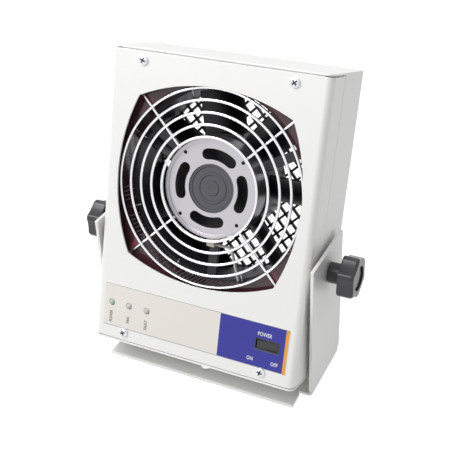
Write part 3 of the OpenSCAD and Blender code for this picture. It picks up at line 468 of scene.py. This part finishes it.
def moulded_finishes():
    """Plastics and rubber, moulded."""
    tint = colours()
    # Glass-filled nylon switch and jack bodies: black, fine spark-eroded skin, drawn 0.5 mm coarse
    surface("black_plastic", linear("#0F0F11"), 0.45, clouds=0.1, clouds_mm=10, grain=0.02, grain_mm=0.5)
    # Polished phenolic knobs: deep black with a clear gloss
    surface("gloss_black", tint.knob, 0.2, clouds=0.08, clouds_mm=12, swing=0.05, grain=0.006,
            grain_mm=1.2, shader={"Coat Weight": 0.5, "Coat Roughness": 0.08})
    # Moulded emitter frame: wine-red ABS with a low sheen
    surface("wine_plastic", tint.wine, 0.38, clouds=0.1, clouds_mm=10, swing=0.06, grain=0.012, grain_mm=0.8)
    # Inside of the air duct: the same wine moulding, polished by its mould, with streaks along the draw; its
    # darker colour is painted shade
    surface("duct_gloss", linear("#4A2A31"), 0.18, clouds=0.3, clouds_mm=9, swing=0.12, grain=0.05,
            grain_mm=1.4, along=(1, 0.12, 1), shader={"Coat Weight": 0.4, "Coat Roughness": 0.12})
    # The duct's lower ribs, polished: part of the wine moulding, coloured light grey as a painted highlight
    # of the light they catch
    surface("rib_gloss", linear("#8A8085"), 0.16, clouds=0.2, clouds_mm=5, swing=0.08,
            shader={"Coat Weight": 0.5, "Coat Roughness": 0.08})
    # Glass-filled impeller: near black, slightly dusty on its faces
    surface("fan_plastic", linear("#121214"), 0.36, clouds=0.25, clouds_mm=15, grain=0.02, grain_mm=0.9)
    surface("green_plastic", linear("#2E7D3C"), 0.35, clouds=0.06, clouds_mm=8)
    surface("trimmer_blue", linear("#2D55A8"), 0.4, clouds=0.06, clouds_mm=6)
    surface("white_plastic", linear("#E6E4DC"), 0.35, clouds=0.03, clouds_mm=6)
    # Nylon terminal block, yellowed by heat
    surface("cream_nylon", linear("#E8DDC0"), 0.4, clouds=0.08, clouds_mm=3, grain=0.01, grain_mm=0.6)
    surface("lead_pvc", linear("#E9E6E0"), 0.4, clouds=0.04, clouds_mm=3)
    surface("chip_plastic", linear("#26262A"), 0.5, clouds=0.08, clouds_mm=5, grain=0.01)
    surface("capacitor_film", linear("#20264E"), 0.3, clouds=0.06, clouds_mm=5)
    # Epoxy potting: dark, poured and slightly uneven
    surface("potting", linear("#22282C"), 0.3, clouds=0.15, clouds_mm=12, grain=0.04, grain_mm=3)
    surface("hv_silicone", linear("#E2DDD6"), 0.5, clouds=0.05, clouds_mm=6)
    # Sintered magnets and choke ring: matt and sandy
    surface("ferrite", linear("#3A3B38"), 0.7, clouds=0.1, clouds_mm=5, grain=0.04, grain_mm=0.5)
    surface("magnet", linear("#4A4A4D"), 0.6, clouds=0.1, clouds_mm=5, grain=0.03, grain_mm=0.5)
    # Glass-epoxy board under green solder mask
    surface("circuit_board", linear("#1F6B3A"), 0.35, clouds=0.12, clouds_mm=4, grain=0.01, grain_mm=0.6)
    surface("washer_rubber", linear("#1A1A1B"), 0.75, clouds=0.1, clouds_mm=5, grain=0.02, grain_mm=0.5)


def light_finishes():
    """Epoxy bodies of the status lights: tinted and clear, with a soft glow of scattered light."""
    lens = {"Transmission Weight": 0.35, "IOR": 1.54, "Coat Weight": 0.3, "Coat Roughness": 0.05}
    surface("led_green", linear("#74776F"), 0.18, clouds=0.08, clouds_mm=3, shader=lens)
    surface("led_clear", linear("#7C797C"), 0.18, clouds=0.08, clouds_mm=3, shader=lens)


# Nodes whose finish differs from their slot's, because only their look is seen
NODE_FINISH = {"impeller": "fan_plastic", "needle_sockets": "black_plastic", "rear_guard": "fan_plastic"}


class BLOWER_OT_finishes(bpy.types.Operator):
    """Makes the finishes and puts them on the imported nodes"""

    bl_idname = "blower.finishes"
    bl_label = "Finishes"

    def execute(self, context):
        painted_finishes()
        metal_finishes()
        moulded_finishes()
        light_finishes()
        for part in frame["record"]["subparts"]:
            node = part["node"]
            finish = bpy.data.materials[NODE_FINISH.get(node, part["material_slot"])]
            owner = frame["nodes"][node]
            if not owner.material_slots:
                owner.data.materials.append(finish)
            for slot in owner.material_slots:
                slot.material = finish
        return {"FINISHED"}


# ---- stage ----

CAMERA_PLACE = Vector((0.2079, -0.3932, 0.3690))
CAMERA_RIGHT = Vector((0.8990, 0.4362, -0.0387))
CAMERA_UP = Vector((-0.2020, 0.4915, 0.8471))
CAMERA_LENS = 69.16
CAMERA_SENSOR = 36
STAGE_MIDDLE = Vector((0, 0, 0.11))
# Square lamps that face the stage's middle: place, side and power
LAMPS = {
    "key_light": ((-0.65, -0.75, 1.25), 1.0, 18),
    "top_light": ((0.1, 0.7, 1.3), 0.8, 4),
}
FLOOR_SIZE = 40.0
FLOOR_GREY = (0.5, 0.5, 0.5, 1)
FLOOR_GLOW = 0.85
ROOM_COLOUR = (0.97, 0.965, 1.0, 1)
ROOM_SEEN = 1.04
ROOM_LIGHT = 0.33


def stage_floor():
    """A pale floor that shows white to the camera and keeps the blower's shadow."""
    clear_selection()
    bpy.ops.mesh.primitive_plane_add(size=FLOOR_SIZE)
    floor = newest("floor")
    material = bpy.data.materials.new("studio_floor")
    material.use_nodes = True
    tree = material.node_tree
    tree.nodes.clear()
    seen = seen_by_camera(tree)
    lift = add_node(tree, "ShaderNodeMath", {"operation": "MULTIPLY"}, {0: seen, 1: FLOOR_GLOW})
    card = add_node(tree, "ShaderNodeBsdfDiffuse", (), {"Color": FLOOR_GREY})
    glow = add_node(tree, "ShaderNodeEmission", (), {"Strength": lift.outputs[0]})
    both = add_node(tree, "ShaderNodeAddShader", (), {0: card.outputs[0], 1: glow.outputs[0]})
    add_node(tree, "ShaderNodeOutputMaterial", (), {"Surface": both.outputs[0]})
    floor.data.materials.append(material)


def seen_by_camera(tree):
    """1 for a ray from the camera, a mirror or glass, and 0 for any other."""
    path = add_node(tree, "ShaderNodeLightPath")
    mirror = add_node(tree, "ShaderNodeMath", {"operation": "MAXIMUM"},
                      {0: path.outputs["Is Camera Ray"], 1: path.outputs["Is Glossy Ray"]})
    glass = add_node(tree, "ShaderNodeMath", {"operation": "MAXIMUM"},
                     {0: mirror.outputs[0], 1: path.outputs["Is Transmission Ray"]})
    return glass.outputs[0]


def stage_world():
    """A white room to the camera, and an even soft light for everything else."""
    world = bpy.data.worlds.new("studio")
    world.use_nodes = True
    tree = world.node_tree
    tree.nodes.clear()
    strength = add_node(tree, "ShaderNodeMapRange", (),
                        {"Value": seen_by_camera(tree), "To Min": ROOM_LIGHT, "To Max": ROOM_SEEN})
    air = add_node(tree, "ShaderNodeBackground", (),
                   {"Color": ROOM_COLOUR, "Strength": strength.outputs[0]})
    add_node(tree, "ShaderNodeOutputWorld", (), {"Surface": air.outputs[0]})
    bpy.context.scene.world = world


def softbox(name, place, size, power):
    """A square lamp at a place, facing the stage's middle."""
    clear_selection()
    bpy.ops.object.light_add(type="AREA", location=place)
    lamp = newest(name)
    lamp.data.size = size
    lamp.data.energy = power
    lamp.rotation_euler = (STAGE_MIDDLE - Vector(place)).to_track_quat("-Z", "Y").to_euler()


class BLOWER_OT_stage(bpy.types.Operator):
    """Sets up the camera, the floor, the room and the lamps"""

    bl_idname = "blower.stage"
    bl_label = "Stage"

    def execute(self, context):
        clear_selection()
        bpy.ops.object.camera_add()
        camera = newest("camera")
        camera.data.lens = CAMERA_LENS
        camera.data.sensor_width = CAMERA_SENSOR
        back = CAMERA_RIGHT.cross(CAMERA_UP)
        turn = Matrix((CAMERA_RIGHT, CAMERA_UP, back)).transposed().to_4x4()
        camera.matrix_world = Matrix.Translation(CAMERA_PLACE) @ turn
        context.scene.camera = camera
        context.scene.view_settings.view_transform = "Standard"
        stage_floor()
        stage_world()
        for name, (place, size, power) in LAMPS.items():
            softbox(name, place, size, power)
        return {"FINISHED"}


# ---- casing and stand ----


class BLOWER_OT_casing(bpy.types.Operator):
    """Folds the front cover and the rear chassis with rounded sheet edges"""

    bl_idname = "blower.casing"
    bl_label = "Casing"

    def execute(self, context):
        for node in ("front_cover", "rear_chassis"):
            remade(f"{node}_sheet", node, HEAD, "head", "white_paint", sizes().sheet_round / MM)
        return {"FINISHED"}


class BLOWER_OT_stand(bpy.types.Operator):
    """Folds the U-shaped stand with rounded plate edges"""

    bl_idname = "blower.stand"
    bl_label = "Stand"

    def execute(self, context):
        edge = sizes().sheet_round / MM
        remade("bracket_plate", "bracket", STAND, "stand", "white_paint", edge, segments=3)
        return {"FINISHED"}


# ---- control panel ----

# Edges of the printed areas across the label, and the border along its top and foot
FIELD_LEFT = 17.8
FIELD_RIGHT = 59.6
STRIP_RIGHT = 61.6
BORDER = 0.35
# Faces less deep than this belong to the label's front
FRONT_SKIN = 0.05
LABEL_LOW, LABEL_HIGH = box_in("control_label", HEAD)


def label_finish(middle):
    """Index of the print on the label's front at a point, counted from the ground film."""
    if middle.y > LABEL_LOW.y + FRONT_SKIN:
        return 0
    if middle.z > LABEL_HIGH.z - BORDER or middle.z < LABEL_LOW.z + BORDER:
        return 3
    if FIELD_LEFT < middle.x < FIELD_RIGHT:
        return 1
    return 2 if FIELD_RIGHT < middle.x < STRIP_RIGHT else 0


class BLOWER_OT_label(bpy.types.Operator):
    """Prints the control label: its ground, the field round the switch, the strip and the borders"""

    bl_idname = "blower.label"
    bl_label = "Control label"

    def execute(self, context):
        piece = node_copy("control_label_print", "control_label", HEAD)
        lines = [((x, 0, 0), (1, 0, 0)) for x in (FIELD_LEFT, FIELD_RIGHT, STRIP_RIGHT)]
        lines += [((0, 0, z), (0, 0, 1)) for z in (LABEL_LOW.z + BORDER, LABEL_HIGH.z - BORDER)]
        for point, across in lines:
            with editing(piece):
                bpy.ops.mesh.bisect(plane_co=point, plane_no=across)
        prints = [label_finish(face.center) for face in piece.data.polygons]
        seated(piece, HEAD, "head", "label_film", "control_label",
               finishes=["label_film", "label_field", "label_strip", "label_border"])
        for face, index in zip(piece.data.polygons, prints):
            face.material_index = index
        return {"FINISHED"}


# The print is heavier and narrower than the plain letters
BOLD = 0.05
CONDENSED = 0.78
# Height of a capital, as a share of the letters' nominal size
CAPITAL = 0.7
INK_THICK = 0.01
INK_LIFT = 0.012
# Middles of the words beside the switch, across and up the head
SWITCH_WORDS = {"POWER": (46.8, 30.3), "ON": (39.0, 13.8), "OFF": (54.4, 13.7)}
LIGHT_WORDS = {"power_led": "POWER", "fan_led": "FAN", "fault_led": "FAULT"}
LIGHT_WORDS_UP = 15.6
LIGHT_WORDS_SHARE = 0.85


def lettering(name, words, x, z, height, finish, upward=False):
    """Flat printed words about a point of the label. Upward words read from below."""
    clear_selection()
    bpy.ops.object.text_add()
    piece = bpy.context.active_object
    piece.data.body = words
    piece.data.align_x = "CENTER"
    piece.data.align_y = "CENTER"
    piece.data.size = height / CAPITAL
    piece.data.extrude = INK_THICK
    piece.data.offset = BOLD
    piece.data.resolution_u = 4
    bpy.ops.object.convert(target="MESH")
    piece = newest(name)
    narrow = Matrix.Diagonal((CONDENSED, 1, 1, 1))
    turn = Matrix.Rotation(math.radians(90 if upward else 0), 4, "Z") @ narrow
    spot = Matrix.Translation((x, LABEL_LOW.y - INK_LIFT, z)) @ TO_FRONT @ turn
    seated(piece, HEAD @ spot, "head", "label_film", finishes=[finish])


class BLOWER_OT_lettering(bpy.types.Operator):
    """Prints the plain words beside the switch and below the status lights"""

    bl_idname = "blower.lettering"
    bl_label = "Lettering"

    def execute(self, context):
        tall = sizes().letter / MM
        for word, (x, z) in SWITCH_WORDS.items():
            lettering(f"word_{word.lower()}", word, x, z, tall, "ink_white")
        for node, word in LIGHT_WORDS.items():
            low, high = box_in(node, HEAD)
            middle = (low.x + high.x) / 2
            lettering(f"word_{node}", word, middle, LIGHT_WORDS_UP, tall * LIGHT_WORDS_SHARE,
                      "ink_black", upward=True)
        return {"FINISHED"}


class BLOWER_OT_switch(bpy.types.Operator):
    """Moulds the switch's body and its rocker with rounded edges"""

    bl_idname = "blower.switch"
    bl_label = "Rocker switch"

    def execute(self, context):
        for node, body in (("switch_body", "head"), ("switch_rocker", "rocker")):
            remade(f"{node}_moulding", node, HEAD, body, "black_plastic", edge=0.22, segments=3)
        return {"FINISHED"}


# ---- screws and nuts ----

# Head diameter, head height and shank diameter
COVER_SCREW = (5.8, 1.9, 3.5)
GUARD_BOLT = (7.2, 2.4, 4.0)
SCREW_TURNS = (22, 68, -14, 41)
# Straight rim of the head, as a share of its height
RIM = 0.35
POINT = 0.5
# Arms of the cross recess, as shares of the head's diameter
RECESS_LONG = 0.56
RECESS_WIDE = 0.15


def pan_screw(name, head_d, head_h, shank_d, length, slot):
    """A domed screw along Z with a cross recess. Its seat is at the origin."""
    radius = head_d / 2
    shank = shank_d / 2
    dome = [math.radians(a) for a in range(90, -1, -15)]
    profile = [(radius * math.cos(a), head_h * (RIM + (1 - RIM) * math.sin(a))) for a in dome]
    profile += [(radius, 0), (shank, 0), (shank, POINT - length), (shank - POINT, -length),
                (0, -length)]
    screw = turned(name, [(max(0, r), z) for r, z in profile], 48)
    bars = [(RECESS_LONG, RECESS_WIDE), (RECESS_WIDE, RECESS_LONG)]
    cut(screw, *[block("recess", (head_d * w, head_d * h, head_h * 1.1), (0, 0, head_h))
                 for w, h in bars])
    smoothed(screw, 30)
    for finish in (slot, "recess_shadow"):
        screw.data.materials.append(bpy.data.materials[finish])
    # Faces down in the cross recess take the recess finish, which is painted shade
    for face in screw.data.polygons:
        near = math.hypot(face.center.x, face.center.y) < 0.3 * head_d
        sunk = 0.4 < face.center.z / head_h < 0.93
        face.material_index = int(near and sunk)
    return screw


def screw_corners(node, head_d):
    """Centres, right and up, of four screws whose heads reach a node's corners."""
    low, high = box_in(node, HEAD)
    edge = head_d / 2
    return [(x, z) for x in (low.x + edge, high.x - edge) for z in (low.z + edge, high.z - edge)]


def screw_set(name, node, head_d, head_h, shank_d, slot="zinc_steel"):
    """Four like screws at a node's corners, each turned as it was driven."""
    low, high = box_in(node, HEAD)
    seat_y = low.y + head_h
    model = pan_screw(name, head_d, head_h, shank_d, high.y - seat_y, slot)
    copies = []
    for (x, z), turn in zip(screw_corners(node, head_d), SCREW_TURNS):
        driven = TO_FRONT @ Matrix.Rotation(math.radians(turn), 4, "Z")
        copies.append(twin(model, Matrix.Translation((x, seat_y, z)) @ driven))
    bpy.data.objects.remove(model)
    piece = joined(name, copies)
    marks = [face.material_index for face in piece.data.polygons]
    seated(piece, HEAD, "head", slot, node, finishes=[slot, "recess_shadow"])
    for face, mark in zip(piece.data.polygons, marks):
        face.material_index = mark


class BLOWER_OT_screws(bpy.types.Operator):
    """Turns the cover screws and the guard's bolts, and rounds the nuts"""

    bl_idname = "blower.screws"
    bl_label = "Screws and nuts"

    def execute(self, context):
        screw_set("cover_screw_set", "cover_screws", *COVER_SCREW)
        screw_set("guard_bolt_set", "guard_bolts", *GUARD_BOLT)
        for node in ("guard_nuts", "jack_nut", "ground_nut"):
            slot = "brass" if node == "ground_nut" else "zinc_steel"
            remade(f"{node}_plated", node, HEAD, "head", slot, edge=0.2)
        return {"FINISHED"}


# ---- guard, emitters and fan ----

GUARD_RINGS = 5


class BLOWER_OT_guard(bpy.types.Operator):
    """Bends the fan guard: five welded wire rings, four spokes and their eyelets"""

    bl_idname = "blower.guard"
    bl_label = "Fan guard"

    def execute(self, context):
        low, high = box_in("fan_guard", FAN)
        wire = sizes().wire / MM / 2
        step = sizes().ring_step / MM
        eyelet = sizes().eyelet / MM
        outer = high.x - wire
        rings_z = high.z - wire
        spoke_z = low.z + wire
        radii = [outer - i * step for i in range(GUARD_RINGS)]
        pieces = [ring(f"ring_{i}", radius, wire, (0, 0, rings_z)) for i, radius in enumerate(radii)]
        corner = (box_in("guard_bolts", HEAD)[1].x - GUARD_BOLT[0] / 2) * math.sqrt(2)
        inner = radii[-1] - wire
        end = corner - eyelet
        spoke = rod("spoke", wire, end - inner, ((inner + end) / 2, 0, spoke_z),
                    (0, math.radians(90), 0), 14)
        eye = ring("eye", eyelet, wire, (corner, 0, spoke_z), 40)
        for quarter in range(4):
            spin = Matrix.Rotation(math.radians(45 + 90 * quarter), 4, "Z")
            pieces += [twin(spoke, spin), twin(eye, spin)]
        bpy.data.objects.remove(spoke)
        bpy.data.objects.remove(eye)
        guard = smoothed(joined("fan_guard_wire", pieces), 60)
        seated(guard, FAN, "head", "guard_chrome", "fan_guard")
        return {"FINISHED"}


DUCT_R = 59.6
# Ribs along the duct's lower wall, and their places in degrees round the fan
RIB_R = 58.8
RIB_HIGH = 0.55
RIB_WIDE = 0.7
RIB_ENDS = 3
RIB_START = 190
RIB_STEP = 2.5
RIB_COUNT = 57
# The emitter needles that no rib stands beside, in degrees round the fan
NEEDLE_START = 22.5
NEEDLE_STEP = 45
NEEDLE_CLEAR = 3


def beside_needle(turn):
    """True where a rib would stand beside a needle."""
    past = (turn - NEEDLE_START) % NEEDLE_STEP
    return min(past, NEEDLE_STEP - past) <= NEEDLE_CLEAR


def duct_ribs():
    """Fine ribs along the lower wall of the emitter frame's duct, left out beside the needles."""
    low, high = box_in("emitter_frame", FAN)
    depth = high.z - low.z - RIB_ENDS
    rib = block("rib", (RIB_HIGH, RIB_WIDE, depth), (RIB_R, 0, (low.z + high.z) / 2))
    with editing(rib):
        pick("EDGE", lambda e: all(v.co.x < RIB_R for v in e.verts))
        bpy.ops.mesh.bevel(offset=0.2, segments=2, affect="EDGES")
    turns = [RIB_START + RIB_STEP * i for i in range(RIB_COUNT)]
    ribs = [twin(rib, Matrix.Rotation(math.radians(t), 4, "Z")) for t in turns if not beside_needle(t)]
    bpy.data.objects.remove(rib)
    # The ribs are of the wine moulding; their light grey finish is painted highlight
    seated(smoothed(joined("duct_ribs", ribs)), FAN, "head", "wine_plastic", finishes=["rib_gloss"])


class BLOWER_OT_emitters(bpy.types.Operator):
    """Moulds the emitter frame: wine-red flats round a polished duct, coloured darker as painted shade"""

    bl_idname = "blower.emitters"
    bl_label = "Emitter frame"

    def execute(self, context):
        piece = node_copy("emitter_frame_moulding", "emitter_frame", FAN)
        softened(piece, sizes().mould_round / MM)
        # Faces inside the duct take the darker wine, which is painted shade of the same moulding
        dark = [math.hypot(f.center.x, f.center.y) < DUCT_R for f in piece.data.polygons]
        seated(piece, FAN, "head", "wine_plastic", "emitter_frame",
               finishes=["wine_plastic", "duct_gloss"])
        for face, inside in zip(piece.data.polygons, dark):
            face.material_index = int(inside)
        duct_ribs()
        return {"FINISHED"}


class BLOWER_OT_motor(bpy.types.Operator):
    """Casts the motor housing with its slots, and turns the ringed cup in its eye"""

    bl_idname = "blower.motor"
    bl_label = "Motor"

    def execute(self, context):
        remade("motor_housing_casting", "motor_housing", FAN, "head", "cast_aluminium", edge=0.12)
        seat = box_in("bearing_tube", FAN)[1].z
        eye = 14.3
        profile = [(0, 0.45), (1.8, 0.45), (2.1, 0.75), (4.3, 0.75), (4.7, 0.25), (7.6, 0.25),
                   (8.0, 0.8), (9.2, 0.8), (9.6, 0.3), (12.6, 0.3), (13.0, 0.9), (eye, 0.9),
                   (eye, 0.01), (0, 0.01)]
        cup = turned("motor_cup", [(r, seat + z) for r, z in profile])
        smoothed(cup, 30)
        seated(cup, FAN, "head", "dark_metal")
        return {"FINISHED"}


class BLOWER_OT_fan(bpy.types.Operator):
    """Moulds the impeller and casts the fan's frame with rounded edges"""

    bl_idname = "blower.fan"
    bl_label = "Fan"

    def execute(self, context):
        remade("impeller_moulding", "impeller", FAN, "fan", "black_plastic", edge=0.25,
               finishes=["fan_plastic"])
        remade("fan_frame_casting", "fan_frame", FAN, "head", "frame_metal", edge=0.35)
        remade("terminal_block_moulding", "terminal_block", FAN, "head", "cream_nylon", edge=0.4)
        return {"FINISHED"}


# ---- clamp knobs ----

KNOB_LOBES = 6
KNOB_THICK = 10.0
# Hole for the stud, and the neck round it
KNOB_BORE_R = 3.02
KNOB_NECK_R = 6.2
CAP_RECESS_R = 7.5
CAP_RECESS_DEEP = 2.0


def knob_radius(angle, rim, hollow):
    """Distance from the axis to the knob's outline: a circle of radius rim with shallow hollows."""
    scoop = 2 * rim
    centre = rim + scoop - hollow
    share = math.tau / KNOB_LOBES
    off = angle % share - share / 2
    inside = scoop**2 - (centre * math.sin(off)) ** 2
    return min(rim, centre * math.cos(off) - math.sqrt(inside)) if inside > 0 else rim


def knob_head(name, rim):
    """The lobed head, drawn as an outline, extruded and rounded, with a recess for the cap."""
    hollow = sizes().knob_hollow / MM
    angles = [math.tau * i / 120 for i in range(121)]
    outline = [(knob_radius(a, rim, hollow), a) for a in angles]
    head = drawn(name, [Vector((r * math.cos(a), r * math.sin(a), 0)) for r, a in outline])
    with editing(head):
        bpy.ops.mesh.remove_doubles(threshold=MERGE)
        bpy.ops.mesh.edge_face_add()
        bpy.ops.mesh.extrude_region_move(TRANSFORM_OT_translate={"value": (0, 0, KNOB_THICK)})
        bpy.ops.mesh.select_all(action="SELECT")
        bpy.ops.mesh.normals_make_consistent(inside=False)
        fillet = sizes().knob_fillet / MM
        for level, round_r in ((KNOB_THICK, fillet), (0, fillet / 2)):
            pick("EDGE", lambda e: all(abs(v.co.z - level) < 0.01 for v in e.verts))
            bpy.ops.mesh.bevel(offset=round_r, segments=5, affect="EDGES")
    cut(head, rod("recess", CAP_RECESS_R, 2 * CAP_RECESS_DEEP, (0, 0, KNOB_THICK), steps=96))
    return head


def knob_neck(name, foot, base):
    """The neck, bored for the stud, from its foot up into the head's base."""
    collar = KNOB_NECK_R + 1.6
    profile = [(KNOB_BORE_R, foot), (KNOB_NECK_R - 0.4, foot), (KNOB_NECK_R, foot + 0.4),
               (KNOB_NECK_R, base - 1.4), (KNOB_NECK_R + 0.5, base - 0.5), (collar, base + 0.05),
               (collar, base + 1), (KNOB_BORE_R, base + 1), (KNOB_BORE_R, foot)]
    return turned(name, profile, 64)


def knob_cap(name, radius, foot, top):
    """The slightly crowned cap in the head's recess."""
    crown = [(0, top), (radius - 2.2, top - 0.1), (radius - 0.5, top - 0.35), (radius, top - 0.8),
             (radius, foot), (0, foot)]
    return smoothed(turned(name, crown), 40)


class BLOWER_OT_knobs(bpy.types.Operator):
    """Moulds the two clamp knobs, with their necks and caps"""

    bl_idname = "blower.knobs"
    bl_label = "Clamp knobs"

    def execute(self, context):
        for side, place in KNOB_SIDES.items():
            low, high = box_in(f"{side}_knob", place)
            cap_low, cap_high = box_in(f"{side}_cap", place)
            base = high.z - KNOB_THICK
            head = knob_head(f"{side}_knob_head", high.y)
            head.data.transform(Matrix.Translation((0, 0, base)))
            neck = knob_neck(f"{side}_knob_neck", low.z, base)
            knob = smoothed(joined(f"{side}_knob_moulding", [head, neck]), 40)
            seated(knob, place, f"{side}_clamp", "gloss_black", f"{side}_knob")
            cap = knob_cap(f"{side}_knob_cap", cap_high.y, cap_low.z, cap_high.z)
            seated(cap, place, f"{side}_clamp", "gloss_black", f"{side}_cap")
        return {"FINISHED"}


class BLOWER_OT_back_panel(bpy.types.Operator):
    """Rounds the sockets and the dial on the back panel"""

    bl_idname = "blower.back_panel"
    bl_label = "Back panel"

    def execute(self, context):
        for node, body, slot in (("power_jack", "head", "black_plastic"),
                                 ("ground_socket", "head", "green_plastic"),
                                 ("balance_dial", "dial", "white_plastic")):
            remade(f"{node}_moulding", node, HEAD, body, slot, edge=0.25)
        return {"FINISHED"}


# ---- add-on ----

STEPS = (
    BLOWER_OT_stage,
    BLOWER_OT_finishes,
    BLOWER_OT_casing,
    BLOWER_OT_stand,
    BLOWER_OT_label,
    BLOWER_OT_lettering,
    BLOWER_OT_switch,
    BLOWER_OT_screws,
    BLOWER_OT_guard,
    BLOWER_OT_emitters,
    BLOWER_OT_motor,
    BLOWER_OT_fan,
    BLOWER_OT_knobs,
    BLOWER_OT_back_panel,
)


class BLOWER_PT_panel(bpy.types.Panel):
    """Lists the blower's pieces, sizes and colours"""

    bl_idname = "BLOWER_PT_panel"
    bl_label = "Ionizing Blower"
    bl_space_type = "VIEW_3D"
    bl_region_type = "UI"
    bl_category = "Blower"

    def draw(self, context):
        for group in (context.scene.blower_sizes, context.scene.blower_colours):
            for name in group.__annotations__:
                self.layout.prop(group, name)
        for step in STEPS:
            self.layout.operator(step.bl_idname)


CLASSES = (BlowerColours, BlowerSizes, *STEPS, BLOWER_PT_panel)


def register():
    for cls in CLASSES:
        bpy.utils.register_class(cls)
    bpy.types.Scene.blower_sizes = bpy.props.PointerProperty(type=BlowerSizes)
    bpy.types.Scene.blower_colours = bpy.props.PointerProperty(type=BlowerColours)


def unregister():
    del bpy.types.Scene.blower_colours
    del bpy.types.Scene.blower_sizes
    for cls in reversed(CLASSES):
        bpy.utils.unregister_class(cls)


def main():
    """Makes every piece in order."""
    register()
    for step in STEPS:
        group, name = step.bl_idname.split(".")
        getattr(getattr(bpy.ops, group), name)()


if __name__ == "__main__":
    main()
